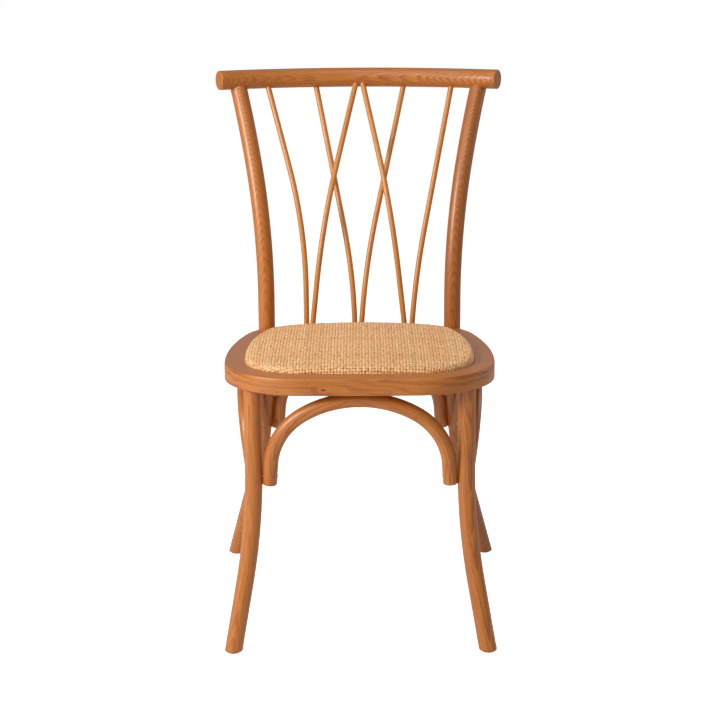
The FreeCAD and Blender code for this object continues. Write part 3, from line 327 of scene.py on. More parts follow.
def carried(tree: Tree, name: str, kind: str = "FLOAT") -> Socket:
    """An attribute that the geometry carries into a tree."""
    return add(tree, "GeometryNodeInputNamedAttribute", {"Name": name}, data_type=kind).outputs[0]


def end_tree(tree: Tree, shape: Socket, finish: Socket, out: Node, spent: tuple[str, ...] = ()) -> Tree:
    """Ends a tree: drops what the sweep alone needed, realizes the shape and gives it its material.

    Args:
        tree: The tree.
        shape: The drawn shape.
        finish: The input that holds the material.
        out: The tree's output node.
        spent: The swept line's attributes, for a shape that is shaded smooth.

    Returns:
        The tree.
    """
    for name in spent:
        shape = add(tree, "GeometryNodeRemoveAttribute", {"Geometry": shape, "Name": name}).outputs[0]
    if spent:
        shape = add(tree, "GeometryNodeSetShadeSmooth", {"Geometry": shape}).outputs[0]
    shape = add(tree, "GeometryNodeRealizeInstances", {"Geometry": shape}).outputs[0]
    shape = add(tree, "GeometryNodeSetMaterial", {"Geometry": shape, "Material": finish}).outputs[0]
    tree.links.new(shape, out.inputs[0])
    return tree


def bar_tree() -> Tree:
    """The tree that draws a round bar along its middle line.

    It keeps each point's place in the log, across and along, so that the grain follows the bend.

    Returns:
        The tree.
    """
    inputs = {"Line": "Geometry", "Diameter": "Float", "Sides": "Int", "Finish": "Material"}
    tree, given, out = new_tree("bent_bar", inputs)

    def sum_of(operation: str, *feeds: object) -> Socket:
        """The result of a sum on numbers."""
        return add(tree, "ShaderNodeMath", dict(enumerate(feeds)), operation=operation).outputs[0]

    def vectors(operation: str, *feeds: object) -> Node:
        """A sum on vectors."""
        return add(tree, "ShaderNodeVectorMath", dict(enumerate(feeds)), operation=operation)

    def height(vector: Socket) -> Socket:
        """A vector's share upwards."""
        return add(tree, "ShaderNodeSeparateXYZ", {0: vector}).outputs["Z"]

    line = add(tree, "GeometryNodeMeshToCurve", {"Mesh": given["Line"]}).outputs[0]
    radius = sum_of("MULTIPLY", given["Diameter"], 0.5)
    ring = add(tree, "GeometryNodeCurvePrimitiveCircle", {"Resolution": given["Sides"], "Radius": radius})
    feeds = {"Curve": line, "Profile Curve": ring.outputs[0], "Scale": carried(tree, "swell"), "Fill Caps": True}
    bar = add(tree, "GeometryNodeCurveToMesh", feeds).outputs[0]
    here = add(tree, "GeometryNodeInputPosition").outputs[0]
    way, facing, middle, log = (carried(tree, name, "FLOAT_VECTOR") for name in ("way", "facing", "middle", "log"))
    # a foot's last rings slide along the bar onto level planes
    short = sum_of("SUBTRACT", carried(tree, "level"), height(here))
    slide = sum_of("MULTIPLY", sum_of("DIVIDE", short, height(way)), carried(tree, "cut"))
    off = vectors("SUBTRACT", here, middle).outputs[0]
    outward = vectors("DOT_PRODUCT", off, facing).outputs["Value"]
    aside = vectors("DOT_PRODUCT", off, vectors("CROSS_PRODUCT", way, facing).outputs[0]).outputs["Value"]
    place = add(tree, "ShaderNodeCombineXYZ", {0: outward, 1: aside, 2: slide}).outputs[0]
    timber = vectors("ADD", place, log).outputs[0]
    feeds = {"Geometry": bar, "Name": "timber", "Value": timber}
    bar = add(tree, "GeometryNodeStoreNamedAttribute", feeds, data_type="FLOAT_VECTOR", domain="POINT").outputs[0]
    step = add(tree, "ShaderNodeVectorMath", {0: way, 3: slide}, operation="SCALE").outputs[0]
    bar = add(tree, "GeometryNodeSetPosition", {"Geometry": bar, "Offset": step}).outputs[0]
    spent = ("swell", "way", "facing", "level", "cut", "middle", "log")
    return end_tree(tree, bar, given["Finish"], out, spent)


def weave_tree() -> Tree:
    """The tree that draws flat strands along their middle lines.

    Returns:
        The tree.
    """
    inputs = {"Lines": "Geometry", "Width": "Float", "Thickness": "Float", "Sides": "Int", "Finish": "Material"}
    tree, given, out = new_tree("woven_strands", inputs)
    line = add(tree, "GeometryNodeMeshToCurve", {"Mesh": given["Lines"]}).outputs[0]
    feeds = {"Curve": line, "Normal": carried(tree, "lie", "FLOAT_VECTOR")}
    line = add(tree, "GeometryNodeSetCurveNormal", feeds, mode="FREE").outputs[0]
    ring = add(tree, "GeometryNodeCurvePrimitiveCircle", {"Resolution": given["Sides"], "Radius": 0.5}).outputs[0]
    flat_up = (0.0, 0.0, math.pi / 6)
    ring = add(tree, "GeometryNodeTransform", {"Geometry": ring, "Rotation": flat_up}).outputs[0]
    girth = add(tree, "ShaderNodeCombineXYZ", {0: given["Thickness"], 1: given["Width"], 2: 1.0}).outputs[0]
    ring = add(tree, "GeometryNodeTransform", {"Geometry": ring, "Scale": girth}).outputs[0]
    feeds = {"Curve": line, "Profile Curve": ring, "Scale": carried(tree, "swell"), "Fill Caps": True}
    strand = add(tree, "GeometryNodeCurveToMesh", feeds).outputs[0]
    return end_tree(tree, strand, given["Finish"], out, ("lie", "swell"))


def screw_tree() -> Tree:
    """The tree that stands one screw on each point and turns it along its way in.

    Returns:
        The tree.
    """
    inputs = {"Places": "Geometry", "Screw": "Object", "Finish": "Material"}
    tree, given, out = new_tree("driven_screws", inputs)
    feeds = {"Vector": carried(tree, "way", "FLOAT_VECTOR")}
    turn = add(tree, "FunctionNodeAlignRotationToVector", feeds, axis="Z").outputs[0]
    screw = add(tree, "GeometryNodeObjectInfo", {"Object": given["Screw"]}).outputs["Geometry"]
    feeds = {"Points": given["Places"], "Instance": screw, "Rotation": turn}
    made = add(tree, "GeometryNodeInstanceOnPoints", feeds).outputs[0]
    return end_tree(tree, made, given["Finish"], out)


def attribute(mesh: Mesh, name: str, values: np.ndarray, domain: str = "POINT") -> None:
    """Stores numbers or vectors on a mesh.

    Args:
        mesh: The mesh.
        name: The attribute's name.
        values: One number or vector for each element.
        domain: The kind of element.
    """
    vector = values.ndim == 2
    layer = mesh.attributes.new(name, "FLOAT_VECTOR" if vector else "FLOAT", domain)
    layer.data.foreach_set("vector" if vector else "value", values.astype(np.float32).ravel())


# Finishes


@dataclass(frozen=True)
class Mark:
    """A knot or a drying split in the wood: its middle and its half lengths, in millimetres."""

    middle: tuple[float, float, float]
    reach: tuple[float, float, float]


MARKS = (
    Mark((-57.2, -273.6, 437.0), (3.8, 4.0, 1.5)),
    Mark((-82.0, -273.2, 448.5), (1.3, 2.0, 0.8)),
    Mark((143.2, -238.0, 286.0), (0.55, 6.0, 15.0)),
)


@dataclass(frozen=True)
class StainedElm:
    """Elm, steam-bent or turned, sanded, stained honey brown and sprayed with satin lacquer.

    The eye gets rings that run along the bend, flames where they run out of a face, dark open
    pores in each ring's early wood, true rings on cut ends, and a soft clear gloss over it all.
    """

    name: str = "elm_steam_bent_stained_lacquered"
    early: str = "#984D14"
    middle: str = "#B9691E"
    late: str = "#C87C28"
    pore: str = "#5F3213"
    red_tint: str = "#A6501D"
    # deep stain colour, which on the right-hand pieces is also painted shade
    deep_stain_and_shade: str = "#7A3C10"
    mark: str = "#2E180B"
    ring_mm: float = 2.1
    sway_mm: float = 5.0
    pore_depth_mm: float = 0.12
    least_faint: float = 0.1
    pore_share: float = 0.7
    marks: tuple[Mark, ...] = ()

    def make(self) -> Material:
        """Builds the material on the pieces' timber and tone attributes."""
        paint = Paint(self.name)
        sum_of, spread, blend = paint.sum_of, paint.spread, paint.blend

        def noise(scale: tuple[float, float, float], detail: float) -> Socket:
            """Noise over the timber, from 0 to 1, drawn out along the grain."""
            return paint.noise(paint.vectors("MULTIPLY", timber, scale), 1.0, detail, 0.55)

        source = paint.read("timber", "Vector")
        timber = add(paint.tree, "ShaderNodeVectorMath", {0: source, 3: 1 / MM}, operation="SCALE").outputs[0]
        dark_mark, push = self.draw_marks(paint)
        sway = sum_of("MULTIPLY_ADD", noise((0.01, 0.01, 0.005), 2.0), self.sway_mm * 2, -self.sway_mm)
        across = sum_of("ADD", paint.axis(timber, "X"), sum_of("ADD", sway, push))
        square = sum_of("ADD", sum_of("POWER", across, 2.0), sum_of("POWER", paint.axis(timber, "Y"), 2.0))
        wander = sum_of("MULTIPLY", noise((0.1, 0.1, 0.012), 3.0), 1.5)
        ring = sum_of("ADD", sum_of("DIVIDE", sum_of("SQRT", square), self.ring_mm), wander)
        phase = sum_of("FRACT", ring)
        stops = [(0.0, self.early), (0.22, self.early), (0.45, self.middle), (0.85, self.late), (1.0, self.middle)]
        faint = spread(noise((0.03, 0.03, 0.005), 2.0), 0.38, 0.62, self.least_faint, 0.7)
        tone = blend(faint, paint.ramp(phase, stops), self.middle)
        streak = spread(noise((0.7, 0.7, 0.012), 3.0), 0.32, 0.68, 0.0, 1.0)
        tone = blend(sum_of("MULTIPLY", streak, 0.5), tone, self.late)
        tone = blend(spread(noise((0.25, 0.25, 0.01), 3.0), 0.45, 0.75, 0.0, 0.55), tone, self.red_tint)
        open_pore = spread(noise((2.2, 2.2, 0.09), 2.0), 0.55, 0.66, 0.0, 1.0)
        pore = sum_of("MULTIPLY", open_pore, spread(phase, 0.25, 0.5, 1.0, 0.2))
        tone = blend(sum_of("MULTIPLY", pore, self.pore_share), tone, self.pore)
        # painted light and shade: the tone attribute lightens a piece towards the late colour and darkens it towards
        # the deep colour; besides stain, this paints light on the left-hand posts and legs and shade on the
        # right-hand pieces
        own = paint.read("tone")
        tone = blend(spread(own, 0.0, -1.0, 0.0, 0.9), tone, self.deep_stain_and_shade)
        tone = blend(spread(own, 0.0, 1.0, 0.0, 0.9), tone, self.late)
        tone = blend(dark_mark, tone, self.mark)
        shine = sum_of("MULTIPLY_ADD", streak, -0.08, 0.44)
        height = sum_of("MULTIPLY_ADD", phase, 0.2, sum_of("MULTIPLY", sum_of("ADD", pore, dark_mark), -1.0))
        return paint.dress(
            Base_Color=tone,
            Roughness=sum_of("MULTIPLY_ADD", pore, 0.15, shine),
            Normal=paint.bump(height, self.pore_depth_mm, 0.45),
            IOR=1.5,
            Coat_Weight=0.3,
            Coat_Roughness=0.25,
            Coat_IOR=1.5,
        )

    def draw_marks(self, paint: Paint) -> tuple[object, object]:
        """Draws the marks, and the push that they give the rings around them.

        Args:
            paint: The material in the making.

        Returns:
            How dark each spot is and how far the rings are pushed aside, in millimetres.
        """
        dark, push = 0.0, 0.0
        for mark in self.marks:
            off = paint.vectors("SUBTRACT", paint.spot, tuple(value * MM for value in mark.middle))
            off = paint.vectors("DIVIDE", off, tuple(value * MM for value in mark.reach))
            away = paint.vectors("LENGTH", off, part="Value")
            inside = paint.spread(away, 0.55, 1.15, 0.9, 0.0)
            near = paint.spread(away, 0.0, 4.0, 2.5, 0.0, interpolation_type="SMOOTHSTEP")
            dark = paint.sum_of("MAXIMUM", dark, inside)
            push = paint.sum_of("ADD", push, near)
        return dark, push


@dataclass(frozen=True)
class NaturalCane:
    """Rattan peel, split and woven over and under, left natural under a thin clear coat.

    The eye gets pale straw strands that differ a little in tone, with painted shade where they dive under the
    crossing strands and painted specks of shade between them.
    """

    name: str = "rattan_peel_woven_natural"
    pale: str = "#FFD6A2"
    warm: str = "#F4B87A"
    rosy: str = "#F0B184"
    green: str = "#DDB878"
    shadow: str = "#AA6228"
    line_mm: float = 0.5
    speck_mm: float = 4.5

    def make(self) -> Material:
        """Builds the material on the strands' shade and along attributes."""
        paint = Paint(self.name)
        stops = [(0.0, self.green), (0.08, self.warm), (0.45, self.pale), (0.85, self.warm), (1.0, self.rosy)]
        tone = paint.ramp(paint.read("shade"), stops)
        blotch = paint.noise(paint.spot, 1 / (self.line_mm * 8 * MM), 3.0)
        tone = paint.blend(paint.spread(blotch, 0.35, 0.75, 0.0, 0.5), tone, self.warm)
        # painted shade: specks of the shadow colour stand in for the dark gaps of the weave
        speck = paint.noise(paint.spot, 1 / (self.speck_mm * MM), 1.0)
        tone = paint.blend(paint.spread(speck, 0.5, 0.72, 0.0, 0.7), tone, self.shadow)
        # painted shade: strands darken towards the shadow colour where they dive under the crossing strands
        tone = paint.blend(paint.spread(paint.read("dip"), -0.2, 0.4, 0.0, 0.5), tone, self.shadow)
        relief = paint.bump(blotch, 0.1, 0.3)
        return paint.dress(
            Base_Color=tone, Normal=relief, Roughness=0.5, IOR=1.5, Coat_Weight=0.15, Coat_Roughness=0.3
        )


@dataclass(frozen=True)
class PadCloth:
    """Woven cotton lining over seat foam, dark brown as painted shade, which shows between the strands."""

    name: str = "cotton_lining_woven_brown"
    dark: str = "#6E3F17"
    light: str = "#8C5624"
    thread_mm: float = 0.8

    def make(self) -> Material:
        """Builds the material with crossed threads."""
        paint = Paint(self.name)
        feeds = {"Vector": paint.spot, "Scale": 1 / (self.thread_mm * MM) / 3.2}
        waves = [
            add(paint.tree, "ShaderNodeTexWave", feeds, bands_direction=axis).outputs["Fac"] for axis in ("X", "Y")
        ]
        both = paint.sum_of("MULTIPLY", *waves)
        # painted shade: the lining's dark browns stand in for the shade seen between the strands
        tone = paint.ramp(both, [(0.0, self.dark), (1.0, self.light)])
        return paint.dress(Base_Color=tone, Normal=paint.bump(both, 0.2, 0.4), Roughness=0.9, Sheen_Weight=0.2)


@dataclass(frozen=True)
class BirchPlywood:
    """Birch plywood, sawn and sanded: pale faces with faint figure, and stripes of veneer at the edge."""

    name: str = "birch_plywood_sanded"
    pale: str = "#D9BC8F"
    brown: str = "#B08B5C"
    veneer_mm: float = 1.5

    def make(self) -> Material:
        """Builds the material with veneers stacked along Z."""
        paint = Paint(self.name)
        figure = paint.noise(paint.vectors("MULTIPLY", paint.spot, (40.0, 6.0, 40.0)), 2.0, 5.0)
        face = paint.ramp(figure, [(0.3, self.pale), (0.75, self.brown)])
        layer = paint.sum_of("DIVIDE", paint.axis(paint.spot, "Z"), 2 * self.veneer_mm * MM)
        edge = paint.ramp(paint.sum_of("FRACT", layer), [(0.45, self.pale), (0.55, self.brown)])
        normal = add(paint.tree, "ShaderNodeNewGeometry").outputs["Normal"]
        flat = paint.sum_of("GREATER_THAN", paint.sum_of("ABSOLUTE", paint.axis(normal, "Z")), 0.7)
        tone = paint.blend(flat, edge, face)
        return paint.dress(Base_Color=tone, Normal=paint.bump(figure, 0.1, 0.2), Roughness=0.65, IOR=1.5)


@dataclass(frozen=True)
class YellowZincSteel:
    """Steel, cold headed and yellow zinc plated: a warm metal with faint turned lines."""

    name: str = "steel_yellow_zinc_plated"
    light: str = "#C9B48A"
    dark: str = "#8F7A54"
    mark_mm: float = 0.4

    def make(self) -> Material:
        """Builds the material with fine marks."""
        paint = Paint(self.name)
        mark = paint.noise(paint.spot, 1 / (self.mark_mm * MM), 4.0)
        tone = paint.ramp(mark, [(0.3, self.dark), (0.7, self.light)])
        return paint.dress(Base_Color=tone, Roughness=paint.spread(mark, 0.3, 0.7, 0.28, 0.42), Metallic=1.0)


@dataclass(frozen=True)
class GlidePlastic:
    """Polyethylene, moulded: milky and slightly waxy, with a fine spark-eroded grain."""

    name: str = "polyethylene_moulded_brown"
    tone: str = "#7A5636"
    worn: str = "#92704E"
    grain_mm: float = 0.6

    def make(self) -> Material:
        """Builds the material with a fine moulded grain."""
        paint = Paint(self.name)
        grain = paint.noise(paint.spot, 1 / (self.grain_mm * MM), 2.0)
        tone = paint.ramp(grain, [(0.35, self.tone), (0.8, self.worn)])
        return paint.dress(Base_Color=tone, Normal=paint.bump(grain, 0.05, 0.25), Roughness=0.5, IOR=1.51)


# Bars


@dataclass(frozen=True)
class Cut:
    """How a piece was cut from its log, in millimetres.

    The heart lies behind the face that shows, the slope and the bow run the rings out of that
    face, and the start keeps two pieces from sharing a figure. The tone is darker below zero and lighter above;
    besides the piece's own stain it holds painted light on the left-hand posts and legs and painted shade on the
    right-hand pieces, as from the key light on the left.
    """

    heart: float = 80.0
    aside: float = 0.0
    start: float = 0.0
    slope: float = 0.02
    bow: float = 0.0
    tone: float = 0.0

    def log(self, along: np.ndarray) -> np.ndarray:
        """The middle line's place in the log, in metres.

        Args:
            along: Lengths along the piece, in millimetres.

        Returns:
            Out of the heart, aside and along, for each length.
        """
        out = self.heart + self.slope * along + self.bow * along**2 / 2
        return np.column_stack([out, np.full(len(along), self.aside), self.start + along]) * MM


@dataclass
class MiddleLine:
    """A bar's middle line in one plane, drawn in straight runs and bends, in millimetres."""

    here: Vector
    way: Vector
    side: Vector
    arc_step: float = 1.5
    points: list[Vector] = field(default_factory=list)

    def __post_init__(self) -> None:
        """Starts the line at its first point."""
        self.points.append(self.here.copy())

    def run(self, length: float) -> "MiddleLine":
        """Goes straight on by a length."""
        self.here = self.here + self.way * length
        self.points.append(self.here.copy())
        return self

    def bend(self, radius: float, degrees: float) -> "MiddleLine":
        """Turns towards the side, or away from it where the degrees are negative.

        Args:
            radius: The bend's radius.
            degrees: How far the bar turns.

        Returns:
            The line itself.
        """
        inward = self.side * math.copysign(1.0, degrees)
        centre = self.here + inward * radius
        steps = max(4, math.ceil(abs(degrees) / self.arc_step))
        total = math.radians(abs(degrees))
        for step in range(1, steps + 1):
            angle = total * step / steps
            spoke = self.way * math.sin(angle) - inward * math.cos(angle)
            self.points.append(centre + spoke * radius)
        turned = self.way * math.cos(total) + inward * math.sin(total)
        self.side = (inward * math.cos(total) - self.way * math.sin(total)) * math.copysign(1.0, degrees)
        self.way = turned
        self.here = self.points[-1].copy()
        return self


@dataclass
class BentBar:
    """A round bar along a middle line, with its two ends and its cut from the log, in millimetres."""

    name: str
    diameter: float
    points: list[Vector]
    ends: tuple[End, End]
    cut: Cut
    faces: tuple[float, float, float] = (0.0, -1.0, 0.0)
    edge_round: float = 2.0
    floor_level: float = 2.0
    sides: int = 40
    round_steps: int = 4
    cap_dome: float = 0.02
    cap_share: float = 0.9

    def stations(self, last: bool) -> list[tuple[Vector, float, float, float]]:
        """The rings that make one end, from the bar's body outwards.

        Args:
            last: True for the end of the line, False for its start.

        Returns:
            Each ring's middle, its swell, the level that it is cut to, and 1 if it is cut, else 0.
        """
        tip, before = (self.points[-1], self.points[-2]) if last else (self.points[0], self.points[1])
        way = (tip - before).normalized()
        kind = self.ends[1 if last else 0]
        if kind is End.HIDDEN:
            return [(tip, 1.0, 0.0, 0.0)]
        radius, rings = self.diameter / 2, []
        for step in range(self.round_steps + 1):
            angle = math.pi / 2 * step / self.round_steps
            short = self.edge_round * (1 - math.sin(angle))
            swell = 1 - self.edge_round * (1 - math.cos(angle)) / radius
            rings.append((short, swell))
        rings.append((-self.cap_dome, rings[-1][1] * self.cap_share))
        if kind is End.ROUNDED:
            return [(tip - way * short, swell, 0.0, 0.0) for short, swell in rings]
        found = []
        clear = radius * math.hypot(way.x, way.y) / abs(way.z) + self.edge_round + 1.0
        for short, swell in [(clear, 1.0), *rings]:
            level = self.floor_level + short
            middle = tip + way * ((level - tip.z) / way.z)
            found.append((middle, swell, level, 0.0 if short == clear else 1.0))
        return found

    def build(self, tree: Tree, finish: Material) -> Object:
        """Draws the bar.

        Args:
            tree: The tree that draws round bars.
            finish: Its material.

        Returns:
            The bar as a plain mesh.
        """
        rings = self.stations(False)[::-1]
        rings += [(point, 1.0, 0.0, 0.0) for point in self.points[1:-1]]
        rings += self.stations(True)
        middles = np.array([ring[0] for ring in rings])
        steps = np.diff(middles, axis=0)
        lengths = np.linalg.norm(steps, axis=1)
        ways = steps / lengths[:, None]
        ways = np.vstack([ways, ways[-1]])
        facing = np.array(self.faces) - ways * (ways @ np.array(self.faces))[:, None]
        facing /= np.linalg.norm(facing, axis=1)[:, None]
        mesh = bpy.data.meshes.new(self.name)
        mesh.from_pydata((middles * MM).tolist(), [(i, i + 1) for i in range(len(rings) - 1)], [])
        attribute(mesh, "swell", np.array([ring[1] for ring in rings]))
        attribute(mesh, "level", np.array([ring[2] for ring in rings]) * MM)
        attribute(mesh, "cut", np.array([ring[3] for ring in rings]))
        attribute(mesh, "tone", np.full(len(rings), self.cut.tone))
        attribute(mesh, "way", ways)
        attribute(mesh, "facing", facing)
        attribute(mesh, "middle", middles * MM)
        attribute(mesh, "log", self.cut.log(np.concatenate([[0.0], np.cumsum(lengths)])))
        piece = new_object(self.name, mesh)
        run_tree(piece, tree, {"Diameter": self.diameter * MM, "Sides": self.sides, "Finish": finish})
        return piece


@dataclass(frozen=True)
class Shop:
    """What the sub-assemblies are made with: the trees and the materials."""

    bars: Tree
    weave: Tree
    screws: Tree
    wood: Material
    spindle_wood: Material
    cane: Material
    cloth: Material
    plywood: Material
    steel: Material
    plastic: Material


# Plan of the seat frame


@dataclass(frozen=True)
class Arc:
    """One arc of a plan: its middle, radius and the bearings where it starts and ends."""

    centre: np.ndarray
    radius: float
    start: float
    finish: float


@dataclass(frozen=True)
class SeatPlan:
    """Plan of the seat frame, eight arcs that run smoothly into each other, in millimetres."""

    width: float = 441.0
    depth: float = 428.0
    front_reach: float = 274.0
    front_radius: float = 5000.0
    side_radius: float = 665.0
    rear_radius: float = 978.0
    front_corner: float = 131.0
    rear_corner: float = 101.0
    widest_from_front: float = 167.0
    face_front: float = 38.0
    face_side: float = 33.0
    face_rear: float = 37.0

    @staticmethod
    def meet(a: np.ndarray, radius_a: float, b: np.ndarray, radius_b: float) -> np.ndarray:
        """Where two circles meet, on the right of the line from a to b."""
        along = b - a
        apart = float(np.hypot(*along))
        reach = (radius_a**2 - radius_b**2 + apart**2) / (2 * apart)
        rise = math.sqrt(radius_a**2 - reach**2)
        along = along / apart
        return a + along * reach + np.array([along[1], -along[0]]) * rise

    def arcs(self, front: float = 0.0, side: float = 0.0, rear: float = 0.0) -> list[Arc]:
        """The plan's arcs, moved in from the edge.

        Args:
            front: How far the front arc moves in.
            side: How far the side arcs move in.
            rear: How far the rear arc moves in.

        Returns:
            The arcs from the middle of the front, counter-clockwise seen from above.
        """
        radii = {
            "front": self.front_radius - front,
            "side": self.side_radius - side,
            "rear": self.rear_radius - rear,
            "front_corner": self.front_corner - (front + side) / 2,
            "rear_corner": self.rear_corner - (rear + side) / 2,
        }
        middle = {
            "front": np.array([0.0, self.front_radius]),
            "side": np.array([self.width / 2 - self.side_radius, self.widest_from_front]),
            "rear": np.array([0.0, self.depth - self.rear_radius]),
        }
        middle["front_corner"] = self.meet(
            middle["side"],
            radii["side"] - radii["front_corner"],
            middle["front"],
            radii["front"] - radii["front_corner"],
        )
        middle["rear_corner"] = self.meet(
            middle["rear"],
            radii["rear"] - radii["rear_corner"],
            middle["side"],
            radii["side"] - radii["rear_corner"],
        )
        order = ["front", "front_corner", "side", "rear_corner", "rear"]
        ring = [(middle[part], radii[part]) for part in order]
        ring += [(middle[part] * [-1, 1], radii[part]) for part in order[3:0:-1]]
        joints = []
        for number, (centre, radius) in enumerate(ring):
            other, far = ring[(number + 1) % len(ring)]
            large, small = (centre, other) if radius > far else (other, centre)
            joints.append(large + (small - large) / np.hypot(*(small - large)) * max(radius, far))
        found = []
        for number, (centre, radius) in enumerate(ring):
            start = math.atan2(*(joints[number - 1] - centre)[::-1])
            finish = math.atan2(*(joints[number] - centre)[::-1])
            finish += 2 * math.pi if finish < start else 0.0
            found.append(Arc(centre - [0.0, self.front_reach], radius, start, finish))
        return found

    def inner(self, extra: float) -> list[Arc]:
        """The arcs of the top face's inner edge, moved in further by an extra step."""
        return self.arcs(self.face_front + extra, self.face_side + extra, self.face_rear + extra)

    def trace(self, arcs: list[Arc], step: float = 6.0) -> tuple[np.ndarray, np.ndarray]:
        """Points along a plan, as many on every plan of the same frame.

        Args:
            arcs: The plan's arcs.
            step: The points' spacing on the outer plan.

        Returns:
            The points and the outward directions there.
        """
        points, outward = [], []
        for arc, outer in zip(arcs, self.arcs()):
            steps = max(4, math.ceil(outer.radius * (outer.finish - outer.start) / step))
            bearings = np.linspace(arc.start, arc.finish, steps, endpoint=False)
            ways = np.stack([np.cos(bearings), np.sin(bearings)], axis=1)
            points.append(arc.centre + ways * arc.radius)
            outward.append(ways)
        return np.vstack(points), np.vstack(outward)

    @staticmethod
    def outside(arcs: list[Arc], spots: np.ndarray) -> tuple[np.ndarray, np.ndarray]:
        """How far spots lie outside a plan, and the outward direction at the nearest point of it.

        Args:
            arcs: The plan's arcs.
            spots: Points in plan.

        Returns:
            The distances, negative inside, and the directions.
        """
        best = np.full(len(spots), -np.inf)
        ways = np.zeros_like(spots)
        for arc in arcs:
            spokes = spots - arc.centre
            length = np.hypot(spokes[:, 0], spokes[:, 1])
            bearing = np.arctan2(spokes[:, 1], spokes[:, 0])
            turn = (bearing - arc.start) % (2 * math.pi)
            found = length - arc.radius
            nearer = (turn <= arc.finish - arc.start + 1e-9) & (found > best)
            best[nearer] = found[nearer]
            ways[nearer] = (spokes / np.maximum(length, 1e-9)[:, None])[nearer]
        return best, ways


# Sub-assemblies


@dataclass
class BackPosts:
    """Two back posts, each one bent bar from the floor to the top rail, in millimetres."""

    diameter: float = 29.0
    axis_x: float = 162.19
    axis_y: float = 125.34
    seat_height: float = 455.0
    rail_height: float = 879.2
    turnout: float = 26.5
    upper: tuple[float, float, float] = (45.0, 638.0, 22.1)
    lower: tuple[float, float, float] = (28.0, 600.0, 30.0)
    sunk_in_rail: float = 6.0
    flare: float = 4.6

    def line(self, hand: Hand) -> list[Vector]:
        """The post's middle line from the floor to the rail.

        Args:
            hand: Which post.

        Returns:
            The points.
        """
        turn = math.radians(90 - self.turnout)
        out = Vector((math.cos(turn) * hand.value, math.sin(turn), 0.0))
        spot = Vector((self.axis_x * hand.value, self.axis_y, self.seat_height))
        straight, radius, degrees = self.lower
        down = MiddleLine(spot, -UP, out).run(straight).bend(radius, degrees)
        down.run(down.here.z / -down.way.z)
        straight, radius, degrees = self.upper
        up = MiddleLine(spot, UP, out).run(straight).bend(radius, degrees)
        aside = Vector((hand.value, 1.0, 0.0))
        up.side = (aside - up.way * aside.dot(up.way)).normalized()
        left = (self.rail_height - self.sunk_in_rail - up.here.z) / up.way.z
        up.bend(left / math.radians(self.flare), self.flare)
        return down.points[::-1] + up.points[1:]

    def build(self, shop: Shop) -> None:
        """Makes and dresses both posts."""
        # painted light and shade: the left post's tone lightens it and the right post's stronger tone darkens it, as
        # from the key light on the left, over their own stain
        cuts = {
            Hand.LEFT: Cut(heart=95.0, slope=0.24, bow=-0.00058, tone=0.1),
            Hand.RIGHT: Cut(heart=70.0, start=2000.0, slope=0.2, bow=-0.0005, tone=-0.35),
        }
        for hand, name in ((Hand.LEFT, "left_back_post"), (Hand.RIGHT, "right_back_post")):
            bar = BentBar(f"{name}_bent", self.diameter, self.line(hand), (End.FLOOR, End.HIDDEN), cuts[hand])
            settle(bar.build(shop.bars, shop.wood), Slot.BENT_WOOD, name)


@dataclass
class FrontLegs:
    """Two front legs under the seat frame, bent outwards at the foot, in millimetres."""

    diameter: float = 28.6
    axis_x: float = 170.32
    axis_y: float = -223.78
    hoop_underside: float = 427.0
    turnout: float = 45.0
    shape: tuple[float, float, float] = (127.0, 790.0, 13.9)

    def build(self, shop: Shop) -> None:
        """Makes and dresses both legs."""
        # painted light and shade: the left leg's tone lightens it and the right leg's tone darkens it, as from the
        # key light on the left, over their own stain
        cuts = {
            Hand.LEFT: Cut(heart=60.0, aside=20.0, start=4000.0, slope=0.03, tone=0.1),
            Hand.RIGHT: Cut(heart=85.0, aside=-30.0, start=5200.0, slope=-0.03, tone=-0.1),
        }
        straight, radius, degrees = self.shape
        turn = math.radians(self.turnout)
        for hand, name in ((Hand.LEFT, "left_front_leg"), (Hand.RIGHT, "right_front_leg")):
            out = Vector((math.sin(turn) * hand.value, -math.cos(turn), 0.0))
            spot = Vector((self.axis_x * hand.value, self.axis_y, self.hoop_underside))
            line = MiddleLine(spot, -UP, out).run(straight).bend(radius, degrees)
            line.run(line.here.z / -line.way.z)
            bar = BentBar(f"{name}_bent", self.diameter, line.points, (End.HIDDEN, End.FLOOR), cuts[hand])
            settle(bar.build(shop.bars, shop.wood), Slot.BENT_WOOD, name)


@dataclass
class TopRail:
    """The top rail, a round bar on a bow with flat ends and a small round at their edge, in millimetres."""

    diameter: float = 33.6
    radius: float = 538.0
    chord: float = 486.0
    centre_y: float = -278.12
    height: float = 879.2

    def build(self, shop: Shop) -> None:
        """Makes and dresses the rail."""
        half = math.degrees(math.asin(self.chord / 2 / self.radius))
        start = Vector((-self.chord / 2, self.centre_y + self.radius * math.cos(math.radians(half)), self.height))
        turn = math.radians(half)
        way = Vector((math.cos(turn), math.sin(turn), 0.0))
        side = Vector((math.sin(turn), -math.cos(turn), 0.0))
        line = MiddleLine(start, way, side).bend(self.radius, 2 * half)
        ends = (End.ROUNDED, End.ROUNDED)
        cut = Cut(heart=75.0, start=7000.0, slope=-0.19, bow=0.00085, tone=-0.05)
        bar = BentBar("top_rail_bent", self.diameter, line.points, ends, cut, edge_round=1.5, sides=48)
        settle(bar.build(shop.bars, shop.wood), Slot.BENT_WOOD, "top_rail")


@dataclass(frozen=True)
class Bow:
    """One arch under the seat: where its crown is, which way it runs and how it is bent."""

    node: str
    crown: tuple[float, float, float]
    along: tuple[float, float]
    half_span: float
    rise: float
    tilt: float
    faces: tuple[float, float, float]
    cut: Cut


